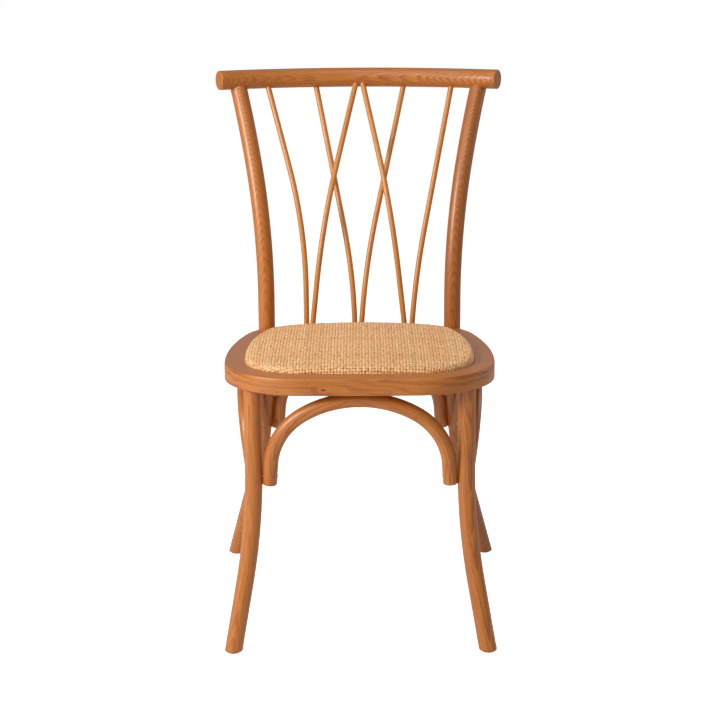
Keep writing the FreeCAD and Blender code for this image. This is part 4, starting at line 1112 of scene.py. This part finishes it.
@dataclass
class Arches:
    """Four bent braces between the legs, up to the seat frame, in millimetres."""

    diameter: float = 24.0
    shoulder_radius: float = 110.0
    straight: float = 34.0
    slant: float = 4.0
    bows: tuple[Bow, ...] = (
        Bow(
            "front_arch", (0.0, -248.0, 415.5), (1.0, 0.0), 145.06, 145.42, -9.33, (0.0, -1.0, 0.0),
            Cut(heart=50.0, aside=25.0, start=9000.0, slope=0.02),
        ),
        Bow(
            "rear_arch", (0.0, 128.0, 415.5), (1.0, 0.0), 145.39, 144.34, -6.19, (0.0, -1.0, 0.0),
            Cut(heart=64.0, aside=-20.0, start=9900.0, slope=-0.03),
        ),
        Bow(
            "left_side_arch", (-191.0, -40.6, 415.5), (0.0, 1.0), 158.1, 144.87, 7.9, (-1.0, 0.0, 0.0),
            Cut(heart=58.0, aside=15.0, start=10700.0, slope=0.05),
        ),
        # painted shade: the right side arch's tone darkens it, as from the key light on the left, over its own stain
        Bow(
            "right_side_arch", (191.0, -40.6, 415.5), (0.0, 1.0), 158.1, 144.87, -7.9, (1.0, 0.0, 0.0),
            Cut(heart=72.0, start=11500.0, slope=-0.02, tone=-0.1),
        ),
    )

    def line(self, bow: Bow) -> list[Vector]:
        """An arch's middle line from end to end.

        Args:
            bow: The arch.

        Returns:
            The points.
        """
        slant = math.radians(self.slant)
        out = bow.half_span - self.straight * math.sin(slant) - self.shoulder_radius * math.cos(slant)
        up = bow.rise - self.straight * math.cos(slant) - self.shoulder_radius * (1 - math.sin(slant))
        crown_turn = 2 * math.degrees(math.atan(up / out))
        crown_radius = self.shoulder_radius + out / math.sin(math.radians(crown_turn))
        along = Vector((*bow.along, 0.0))
        level = Vector((-along.y, along.x, 0.0))
        tilt = math.radians(bow.tilt)
        down = -UP * math.cos(tilt) - level * math.sin(tilt)
        crown = Vector(bow.crown)
        halves = []
        for sign in (-1, 1):
            line = MiddleLine(crown, along * sign, down, arc_step=3.0)
            line.bend(crown_radius, crown_turn).bend(self.shoulder_radius, 90 - crown_turn - self.slant)
            halves.append(line.run(self.straight).points)
        return halves[0][::-1] + halves[1][1:]

    def build(self, shop: Shop) -> None:
        """Makes and dresses the four arches."""
        for bow in self.bows:
            ends = (End.ROUNDED, End.ROUNDED)
            line = self.line(bow)
            bar = BentBar(
                f"{bow.node}_bent", self.diameter, line, ends, bow.cut, bow.faces, edge_round=0.8, sides=36
            )
            settle(bar.build(shop.bars, shop.wood), Slot.BENT_WOOD, bow.node)


@dataclass
class Spindles:
    """Six thin round rods in the back, each with one bend, that cross in pairs, in millimetres."""

    diameter: float = 9.6
    inset: float = 19.0
    stagger: float = 5.35
    seat_depth: float = 8.0
    rail_depth: float = 7.0
    lean: float = 1.5
    bend_reach: float = 110.0
    bend_share: float = 0.95
    seat_height: float = 455.0
    rail: TopRail = field(default_factory=TopRail)
    plan: SeatPlan = field(default_factory=SeatPlan)
    rows: tuple[tuple[float, float, float, float, int], ...] = (
        (-92.5, -93.7, 631.0, -162.4, 0),
        (-8.1, -10.3, 547.0, -77.8, 1),
        (-82.2, -63.6, 635.5, -2.2, -1),
        (79.2, 56.7, 658.5, 5.1, -1),
        (3.6, 10.3, 557.5, 83.0, 1),
        (91.9, 98.3, 545.0, 165.6, 0),
    )

    def line(self, row: tuple[float, float, float, float, int]) -> list[Vector]:
        """A spindle's middle line from the seat frame to the rail.

        Args:
            row: Across at the seat, across and height at the bend, across at the rail, and the row.

        Returns:
            The points.
        """
        seat_x, bend_x, bend_z, rail_x, place = row
        step = place * self.stagger
        arc = self.plan.arcs(rear=self.inset)[4]
        foot = Vector((seat_x, arc.centre[1] + math.sqrt(arc.radius**2 - seat_x**2) + step, self.seat_height))
        rail_y = self.rail.centre_y + math.sqrt(self.rail.radius**2 - rail_x**2)
        head = Vector((rail_x, rail_y + step, self.rail.height))
        rise = bend_z - self.seat_height
        corner = Vector((bend_x, foot.y + rise * math.tan(math.radians(self.lean)), bend_z))
        lower, upper = corner - foot, head - corner
        turn = lower.angle(upper)
        setback = min(self.bend_reach, lower.length * self.bend_share)
        way, onward = lower.normalized(), upper.normalized()
        side = (onward - way * onward.dot(way)).normalized()
        line = MiddleLine(foot - way * self.seat_depth, way, side, arc_step=1.0)
        line.run(self.seat_depth + lower.length - setback)
        line.bend(setback / math.tan(turn / 2), math.degrees(turn))
        line.run(upper.length - setback + self.rail_depth - self.rail.diameter / 2)
        return line.points

    def build(self, shop: Shop) -> None:
        """Makes and dresses the six spindles."""
        for number, row in enumerate(self.rows, start=1):
            name = f"back_spindle_{number}"
            cut = Cut(heart=40.0 + 9.0 * number, aside=30.0, start=12000.0 + 600.0 * number)
            bar = BentBar(f"{name}_bent", self.diameter, self.line(row), (End.HIDDEN, End.HIDDEN), cut, sides=24)
            settle(bar.build(shop.bars, shop.spindle_wood), Slot.SPINDLE_WOOD, name)


@dataclass
class SeatFrame:
    """The bent seat frame with rounded edges, a rebate and a ledge for the seat, in millimetres."""

    plan: SeatPlan = field(default_factory=SeatPlan)
    top: float = 455.0
    thickness: float = 28.0
    edge_round: float = 3.0
    inner_round: float = 0.8
    ledge_width: float = 12.0
    ledge_thickness: float = 16.0
    round_steps: int = 5
    face_lines: tuple[float, float] = (12.0, 22.0)
    edge_line: float = 0.8
    cut: Cut = Cut(heart=90.0, aside=30.0, start=17000.0, slope=0.015, tone=-0.05)

    def section(self) -> list[tuple[str, float, float]]:
        """The frame's section, as the plan each point follows, its step in from it and its height."""
        low = self.top - self.thickness
        ledge = low + self.ledge_thickness
        angles = [math.pi / 2 * step / self.round_steps for step in range(self.round_steps + 1)]
        edge = [(self.edge_round * (1 - math.cos(turn)), self.edge_round * (1 - math.sin(turn))) for turn in angles]
        near = self.edge_round + self.edge_line
        points = [("outer", inset, self.top - drop) for inset, drop in edge]
        points += [("outer", inset, self.top) for inset in (near, *self.face_lines)]
        points.append(("inner", -self.inner_round - self.edge_line, self.top))
        for step in range(4):
            angle = math.pi / 2 * step / 3
            inset = -self.inner_round * (1 - math.sin(angle))
            points.append(("inner", inset, self.top - self.inner_round * (1 - math.cos(angle))))
        points += [("inner", 0.0, ledge), ("inner", self.ledge_width, ledge), ("inner", self.ledge_width, low)]
        points += [("inner", 0.0, low), ("outer", self.face_lines[1], low), ("outer", near, low)]
        points += [("outer", inset, low + rise) for inset, rise in reversed(edge)]
        points.append(("outer", 0.0, (self.top + low) / 2))
        return points

    def build(self, shop: Shop) -> None:
        """Makes and dresses the frame."""
        traced = [*self.plan.trace(self.plan.arcs()), *self.plan.trace(self.plan.inner(0.0))]
        rear = int(np.argmax(traced[0][:, 1]))
        outer, ways, edge, inner_ways = (np.roll(part, -rear, axis=0) for part in traced)
        around = np.concatenate([[0.0], np.cumsum(np.linalg.norm(np.diff(outer, axis=0, append=outer[:1]), axis=1))])
        rails, depth = [], []
        for kind, inset, height in self.section():
            base, out = (outer, ways) if kind == "outer" else (edge, inner_ways)
            flat = base - out * inset
            rails.append(np.column_stack([flat, np.full(len(flat), height)]))
            depth.append(np.hypot(*(outer - flat).T))
        rings = np.stack(rails, axis=1)
        mesh = loft("seat_hoop_bent", rings, round_trip=True)
        depth, count, section = np.array(depth), len(outer), len(rails)
        corners = np.zeros(len(mesh.loops), dtype=np.int32)
        mesh.loops.foreach_get("vertex_index", corners)
        station, place = corners // section, corners % section
        last = np.repeat(np.arange(len(mesh.polygons)) // section == count - 1, 4)
        along = around[np.where(last & (station == 0), count, station)]
        height = rings[0, place, 2] - self.top
        timber = self.cut.log(along) + np.column_stack([-depth[place, station], height, np.zeros(len(along))]) * MM
        attribute(mesh, "timber", timber, "CORNER")
        attribute(mesh, "tone", np.full(len(mesh.vertices), self.cut.tone))
        piece = new_object("seat_hoop_bent", mesh)
        mesh.materials.append(shop.wood)
        finish_mesh(piece, 35.0)
        settle(piece, Slot.BENT_WOOD, "seat_hoop")


@dataclass
class CaneSeat:
    """The drop-in seat: a crowned pad and the cane woven over it, in millimetres."""

    plan: SeatPlan = field(default_factory=SeatPlan)
    fit: float = 0.3
    weave_thickness: float = 2.6
    top: float = 474.0
    crown_radius: float = 2300.0
    crown_y: float = -60.0
    edge_round: float = 9.0
    pitch: float = 5.0
    row_pitch: float = 6.1
    gap: float = 0.35
    row_gap: float = 0.8
    wall: float = 7.0
    loose: tuple[tuple[bool, float, float, float, float], ...] = (
        (False, 172.0, -140.0, 22.0, 1.0),
        (True, 150.0, -222.0, 22.0, 1.0),
        (False, -60.0, 20.0, 60.0, 0.25),
    )
    board_top: float = 452.0
    pad_fill: float = 0.6
    jitter: float = 0.22
    swell: float = 0.05
    loose_turn: float = 2.1
    samples: int = 3
    reach: float = 250.0
    sides: int = 6
    seed: int = 7

    def dome(self, spots: np.ndarray) -> np.ndarray:
        """Heights of the crowned surface over spots in plan."""
        away = spots[:, 0] ** 2 + (spots[:, 1] - self.crown_y) ** 2
        return self.top - self.crown_radius + np.sqrt(self.crown_radius**2 - away)

    def lay(self, spots: np.ndarray) -> tuple[np.ndarray, np.ndarray, np.ndarray]:
        """Lays spots of the flat weave on the seat, over its rounded edge and down its side.

        Args:
            spots: Places in the flat weave.

        Returns:
            Points on the seat's outside, outward directions there, and how far each is past the edge.
        """
        arcs = self.plan.inner(self.fit + self.edge_round)
        past, ways = self.plan.outside(arcs, spots)
        over = np.maximum(past, 0.0)
        foot = spots - ways * over[:, None]
        angle = np.minimum(over / self.edge_round, math.pi / 2)
        hang = np.maximum(over - self.edge_round * math.pi / 2, 0.0)
        flat = foot + ways * (self.edge_round * np.sin(angle))[:, None]
        height = self.dome(foot) - self.edge_round * (1 - np.cos(angle)) - hang
        slope = (foot - [0.0, self.crown_y]) / self.crown_radius
        normal = np.column_stack([slope * np.cos(angle)[:, None] + ways * np.sin(angle)[:, None], np.cos(angle)])
        normal /= np.linalg.norm(normal, axis=1)[:, None]
        return np.column_stack([flat, height]), normal, past

    def strands(self, lengthwise: bool) -> tuple[np.ndarray, list[tuple[int, int]], dict[str, np.ndarray]]:
        """Middle lines of all strands in one direction.

        Args:
            lengthwise: True for the strands from front to back.

        Returns:
            The points, the edges that join them, and the points' attributes.
        """
        chance = np.random.RandomState(self.seed + lengthwise)
        own, other = (self.pitch, self.row_pitch) if lengthwise else (self.row_pitch, self.pitch)
        count, crossed = int(self.reach / own), int(self.reach / other)
        half, lift = self.weave_thickness / 2, self.weave_thickness / 4 + 0.1
        limit = self.edge_round * math.pi / 2 + self.wall
        points, edges, ways, swells, shades, dips = [], [], [], [], [], []
        total = 0
        steps = np.arange(-crossed * self.samples, crossed * self.samples + 1) / self.samples
        for number in range(-count, count):
            jitter, swell, shade = chance.uniform(-1, 1), chance.uniform(-1, 1), chance.uniform()
            cross = np.full(len(steps), (number + 0.5) * own + jitter * self.jitter)
            pair = [cross, steps * other] if lengthwise else [steps * other, cross]
            spots = np.column_stack(pair) + [0.0, self.crown_y]
            spots[:, 0 if lengthwise else 1] += self.slack(spots, number, lengthwise)
            surface, normal, past = self.lay(spots)
            inside = past <= limit
            if inside.sum() < 3:
                continue
            wave = np.cos(math.pi * (steps - 0.5)) * (-1) ** number * (1 if lengthwise else -1)
            middle = surface - normal * (half - lift * wave)[:, None]
            kept = middle[inside]
            points.append(kept)
            edges += [(total + i, total + i + 1) for i in range(len(kept) - 1)]
            total += len(kept)
            ways.append(normal[inside])
            swells.append(np.full(len(kept), 1 + self.swell * swell))
            shades.append(np.full(len(kept), shade))
            dips.append(-wave[inside])
        found = {"swell": swells, "shade": shades, "dip": dips}
        found = {name: np.concatenate(values) for name, values in found.items()}
        return np.vstack(points), edges, {"lie": np.vstack(ways), **found}

    def slack(self, spots: np.ndarray, number: int, lengthwise: bool) -> np.ndarray:
        """How far one strand is pushed aside where the weave is loose, so that slits open there.

        Args:
            spots: The strand's places in the flat weave.
            number: The strand's number.
            lengthwise: True for a strand from front to back.

        Returns:
            The push at each spot.
        """
        push = np.zeros(len(spots))
        for along, x, y, reach, amount in self.loose:
            if along == lengthwise:
                away = np.hypot(spots[:, 0] - x, spots[:, 1] - y) / reach
                push += amount * math.sin(number * self.loose_turn) * np.exp(-(away**2))
        return push

    def pad_rings(self) -> np.ndarray:
        """Rings of the pad from its underside's middle over the edge to its crown."""
        edge = self.fit + self.weave_thickness
        small = self.edge_round - self.weave_thickness
        low = self.board_top + 0.2
        rings = []
        base, out = self.plan.trace(self.plan.inner(edge))
        centre = np.array([0.0, self.crown_y])
        for share in (0.2, 0.5, 0.8, 0.97):
            flat = centre + (base - centre) * share
            rings.append(np.column_stack([flat, np.full(len(flat), low)]))
        inset_base = base - out * 0.4
        rim, rim_out = self.plan.trace(self.plan.inner(edge + small))
        crest = self.dome(rim) - self.weave_thickness
        for share in (0.08, 0.5, 1.0):
            height = low + (crest - small - low) * share
            drawn = 0.5 * math.sin(math.pi * share)
            rings.append(np.column_stack([inset_base - out * drawn, height]))
        for step in range(1, 6):
            angle = math.pi / 2 * step / 5
            flat = rim + rim_out * (small * math.cos(angle) - 0.4 * math.cos(angle))
            rings.append(np.column_stack([flat, crest - small * (1 - math.sin(angle))]))
        for share in (0.97, *(step / 10 for step in range(9, 0, -1))):
            flat = centre + (rim - centre) * share
            rings.append(np.column_stack([flat, self.dome(flat) - self.weave_thickness]))
        return np.stack(rings)

    def build(self, shop: Shop) -> None:
        """Makes and dresses the pad and the weave."""
        pad = new_object("seat_pad_crowned", loft("seat_pad_crowned", self.pad_rings()))
        pad.data.materials.append(shop.cloth)
        finish_mesh(pad, 60.0)
        settle(pad, Slot.FOAM, "seat_pad")
        for lengthwise, name in ((True, "seat_cane_lengthwise"), (False, "seat_cane_crosswise")):
            points, edges, extra = self.strands(lengthwise)
            mesh = bpy.data.meshes.new(name)
            mesh.from_pydata((points * MM).tolist(), edges, [])
            for key, values in extra.items():
                attribute(mesh, key, values)
            piece = new_object(name, mesh)
            values = {
                "Width": (self.pitch - self.gap if lengthwise else self.row_pitch - self.row_gap) * MM,
                "Thickness": (self.weave_thickness / 2 - 0.2) * MM,
                "Sides": self.sides,
                "Finish": shop.cane,
            }
            run_tree(piece, shop.weave, values)
            settle(piece, Slot.CANE, "seat_cane")


@dataclass
class Screws:
    """Countersunk screws with a cross recess, set where the frame's own screws are, in millimetres."""

    head_radius: float = 4.0
    head_height: float = 2.4
    shank_radius: float = 2.0
    point: float = 4.0
    arm: float = 2.2
    arm_half_width: float = 0.45
    recess: float = 1.6
    proud: float = 0.9
    around: int = 48

    def pattern(self, name: str, length: float) -> Object:
        """One screw, driven along +Z from the middle of its head.

        Args:
            name: The pattern's name.
            length: The screw's length.

        Returns:
            The pattern piece.
        """
        bearing = np.arange(self.around) * 2 * math.pi / self.around
        off = (bearing + math.pi / 4) % (math.pi / 2) - math.pi / 4
        cross = np.minimum(self.arm, self.arm_half_width / np.maximum(np.abs(np.sin(off)), 1e-6))
        flat = np.ones(self.around)
        rows = [
            (cross * 0.25, self.recess),
            (cross * 0.6, self.recess * 0.9),
            (cross, 0.08),
            (cross + 0.12, 0.0),
            (flat * (self.arm + 0.4), -0.12),
            (flat * (self.head_radius - 0.3), 0.02),
            (flat * self.head_radius, 0.25),
            (flat * self.shank_radius, self.head_height),
            (flat * self.shank_radius, length - self.point),
            (flat * 0.2, length),
        ]
        rings = [
            np.column_stack([radius * np.cos(bearing), radius * np.sin(bearing), np.full(self.around, depth)])
            for radius, depth in rows
        ]
        piece = new_object(name, loft(name, np.stack(rings)))
        finish_mesh(piece, 35.0)
        return piece

    def places(self, node: Object) -> list[tuple[np.ndarray, np.ndarray, float]]:
        """Finds each screw of a node: the middle of its head, its way in and its length.

        Args:
            node: The node's object, whose triangles are loose.

        Returns:
            One entry for each screw, in metres.
        """
        mesh = node.data
        spots = np.zeros(len(mesh.vertices) * 3)
        mesh.vertices.foreach_get("co", spots)
        spots = spots.reshape(-1, 3)
        keys = {}
        merged = [keys.setdefault(tuple(np.round(spot, 6)), len(keys)) for spot in spots]
        owner = list(range(len(keys)))

        def root(item: int) -> int:
            """The first point of an item's group."""
            while owner[item] != item:
                owner[item] = owner[owner[item]]
                item = owner[item]
            return item

        for face in mesh.polygons:
            corners = [merged[index] for index in face.vertices]
            for other in corners[1:]:
                owner[root(other)] = root(corners[0])
        groups: dict[int, list[tuple[float, ...]]] = {}
        for spot, index in keys.items():
            groups.setdefault(root(index), []).append(spot)
        found = []
        for members in groups.values():
            cloud = np.array(sorted(set(members)))
            tip, head = self.axis_ends(cloud)
            length = float(np.linalg.norm(tip - head))
            found.append((head, (tip - head) / length, length))
        return sorted(found, key=lambda entry: tuple(np.round(entry[0], 4)))

    @staticmethod
    def axis_ends(cloud: np.ndarray) -> tuple[np.ndarray, np.ndarray]:
        """The point and the middle of the head of one screw's points."""
        middle = (cloud.min(0) + cloud.max(0)) / 2
        axis = np.linalg.svd(cloud - cloud.mean(0))[2][0]
        run = (cloud - middle) @ axis
        ends = [cloud[run > run.max() - 1e-5], cloud[run < run.min() + 1e-5]]
        spread = [np.ptp(end, axis=0).max() for end in ends]
        tip, head = (ends[0], ends[1]) if spread[0] < spread[1] else (ends[1], ends[0])
        return tip.mean(0), (head.min(0) + head.max(0)) / 2

    def build(self, shop: Shop, nodes: dict[str, Object]) -> None:
        """Makes and dresses the screws of every node.

        Args:
            shop: The trees and materials.
            nodes: The frame's objects by name.
        """
        for node in ("arch_end_screws", "arch_crown_screws", "post_screws", "seat_screws"):
            places = self.places(nodes[node])
            pattern = self.pattern(f"{node}_pattern", places[0][2] / MM)
            mesh = bpy.data.meshes.new(f"{node}_crossed")
            heads = [head - way * self.proud * MM for head, way, _ in places]
            mesh.from_pydata([tuple(head) for head in heads], [], [])
            attribute(mesh, "way", np.array([way for _, way, _ in places]))
            piece = new_object(f"{node}_crossed", mesh)
            run_tree(piece, shop.screws, {"Screw": pattern, "Finish": shop.steel})
            bpy.data.objects.remove(pattern)
            settle(piece, Slot.STEEL, node)


@dataclass
class Fittings:
    """The seat board and the glides, which keep the frame's own solids."""

    def build(self, shop: Shop, nodes: dict[str, Object]) -> None:
        """Dresses the board and the glides.

        Args:
            shop: The trees and materials.
            nodes: The frame's objects by name.
        """
        for node, material, slot in (
            ("seat_board", shop.plywood, Slot.PLYWOOD),
            ("foot_glides", shop.plastic, Slot.PLASTIC),
        ):
            nodes[node].data.materials.clear()
            nodes[node].data.materials.append(material)


# Studio


@dataclass
class Studio:
    """Floor, backdrop light, lamps and the camera, in metres."""

    focal_px: float = 2055.0
    frame_px: float = 720.0
    sensor_mm: float = 36.0
    camera_at: tuple[float, float, float] = (0.0007, -3.399, 1.184)
    pitch_down: float = 12.6
    roll: float = 0.25
    floor_size: float = 120.0
    floor_tone: str = "#F6F5F3"
    floor_glow: float = 0.8
    sky_level: float = 0.22
    glossy_share: float = 0.22
    lamps: tuple[tuple[str, tuple[float, float, float], float, float], ...] = (
        ("key_soft", (-3.0, -2.0, 1.9), 1.5, 118.0),
        ("front_soft", (-0.8, -2.8, 3.4), 1.4, 30.0),
        ("top_soft", (-0.3, -0.4, 3.2), 1.6, 12.0),
        ("rim_soft", (3.0, 1.2, 1.4), 1.2, 12.0),
    )

    def build(self) -> None:
        """Makes the floor, the lamps, the world and the camera."""
        self.make_floor()
        self.make_lamps()
        self.make_world()
        self.make_camera()
        bpy.context.scene.view_settings.view_transform = "Standard"

    def make_floor(self) -> None:
        """A pale floor that keeps the chair's shadow and looks white where it is lit."""
        half = self.floor_size / 2
        mesh = bpy.data.meshes.new("floor")
        corners = [(-half, -half, 0.0), (half, -half, 0.0), (half, half, 0.0), (-half, half, 0.0)]
        mesh.from_pydata(corners, [], [(0, 1, 2, 3)])
        material = bpy.data.materials.new("paper_roll_matt_white")
        material.use_nodes = True
        tree = material.node_tree
        tree.nodes.clear()
        paper = add(tree, "ShaderNodeBsdfDiffuse", {"Color": linear(self.floor_tone)}).outputs[0]
        seen = add(tree, "ShaderNodeLightPath").outputs["Is Camera Ray"]
        strength = add(tree, "ShaderNodeMath", {0: seen, 1: self.floor_glow}, operation="MULTIPLY").outputs[0]
        glow = add(tree, "ShaderNodeEmission", {"Strength": strength}).outputs[0]
        both = add(tree, "ShaderNodeAddShader", {0: paper, 1: glow}).outputs[0]
        add(tree, "ShaderNodeOutputMaterial", {0: both})
        mesh.materials.append(material)
        new_object("floor", mesh)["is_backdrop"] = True

    def make_lamps(self) -> None:
        """Soft lamps that face the chair's middle."""
        for name, spot, size, power in self.lamps:
            lamp = bpy.data.lights.new(name, "AREA")
            lamp.shape = "SQUARE"
            lamp.size = size
            lamp.energy = power
            made = bpy.data.objects.new(name, lamp)
            bpy.context.scene.collection.objects.link(made)
            made.location = spot
            aim = Vector((0.0, 0.0, 0.5)) - Vector(spot)
            made.rotation_euler = aim.to_track_quat("-Z", "Y").to_euler()

    def make_world(self) -> None:
        """White for the camera and for reflections, and a softer even light for everything else."""
        world = bpy.data.worlds.new("studio")
        bpy.context.scene.world = world
        world.use_nodes = True
        tree = world.node_tree
        path = add(tree, "ShaderNodeLightPath").outputs
        feeds = {0: path["Is Camera Ray"], 1: path["Is Transmission Ray"]}
        bare = add(tree, "ShaderNodeMath", feeds, operation="ADD").outputs[0]
        feeds = {0: path["Is Glossy Ray"], 1: self.glossy_share}
        share = add(tree, "ShaderNodeMath", feeds, operation="MULTIPLY").outputs[0]
        feeds = {0: bare, 1: share}
        seen = add(tree, "ShaderNodeMath", feeds, operation="MAXIMUM", use_clamp=True).outputs[0]
        feeds = {0: seen, 1: 0.0, 2: 1.0, 3: self.sky_level, 4: 1.0}
        level = add(tree, "ShaderNodeMapRange", feeds).outputs[0]
        back = tree.nodes["Background"]
        back.inputs["Color"].default_value = (1.0, 1.0, 1.0, 1.0)
        tree.links.new(level, back.inputs["Strength"])

    def make_camera(self) -> None:
        """The camera at the photograph's place."""
        data = bpy.data.cameras.new("camera")
        data.sensor_width = self.sensor_mm
        data.lens = self.sensor_mm * self.focal_px / self.frame_px
        camera = bpy.data.objects.new("camera", data)
        bpy.context.scene.collection.objects.link(camera)
        level = Matrix.Rotation(math.radians(90 - self.pitch_down), 4, "X")
        turned = level @ Matrix.Rotation(math.radians(-self.roll), 4, "Z")
        camera.matrix_world = Matrix.Translation(Vector(self.camera_at)) @ turned
        bpy.context.scene.camera = camera


def corners() -> list[list[float]]:
    """The lowest and highest corner of what shows, as plain lists."""
    return [list(corner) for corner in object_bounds()]


def main() -> None:
    """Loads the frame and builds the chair's looks in order."""
    logging.basicConfig(level=logging.INFO, format="%(message)s")
    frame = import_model()
    shop = Shop(
        bars=bar_tree(),
        weave=weave_tree(),
        screws=screw_tree(),
        wood=StainedElm(marks=MARKS).make(),
        spindle_wood=StainedElm(
            name="elm_turned_stained_lacquered",
            early="#B8702A",
            middle="#C97F30",
            late="#D2893A",
            red_tint="#BC6E2C",
            pore="#9A5F24",
            ring_mm=4.0,
            least_faint=0.3,
            pore_share=0.4,
        ).make(),
        cane=NaturalCane().make(),
        cloth=PadCloth().make(),
        plywood=BirchPlywood().make(),
        steel=YellowZincSteel().make(),
        plastic=GlidePlastic().make(),
    )
    for group in (BackPosts(), FrontLegs(), TopRail(), Arches(), Spindles(), SeatFrame(), CaneSeat()):
        group.build(shop)
    Screws().build(shop, frame["nodes"])
    Fittings().build(shop, frame["nodes"])
    Studio().build()


if __name__ == "__main__":
    main()
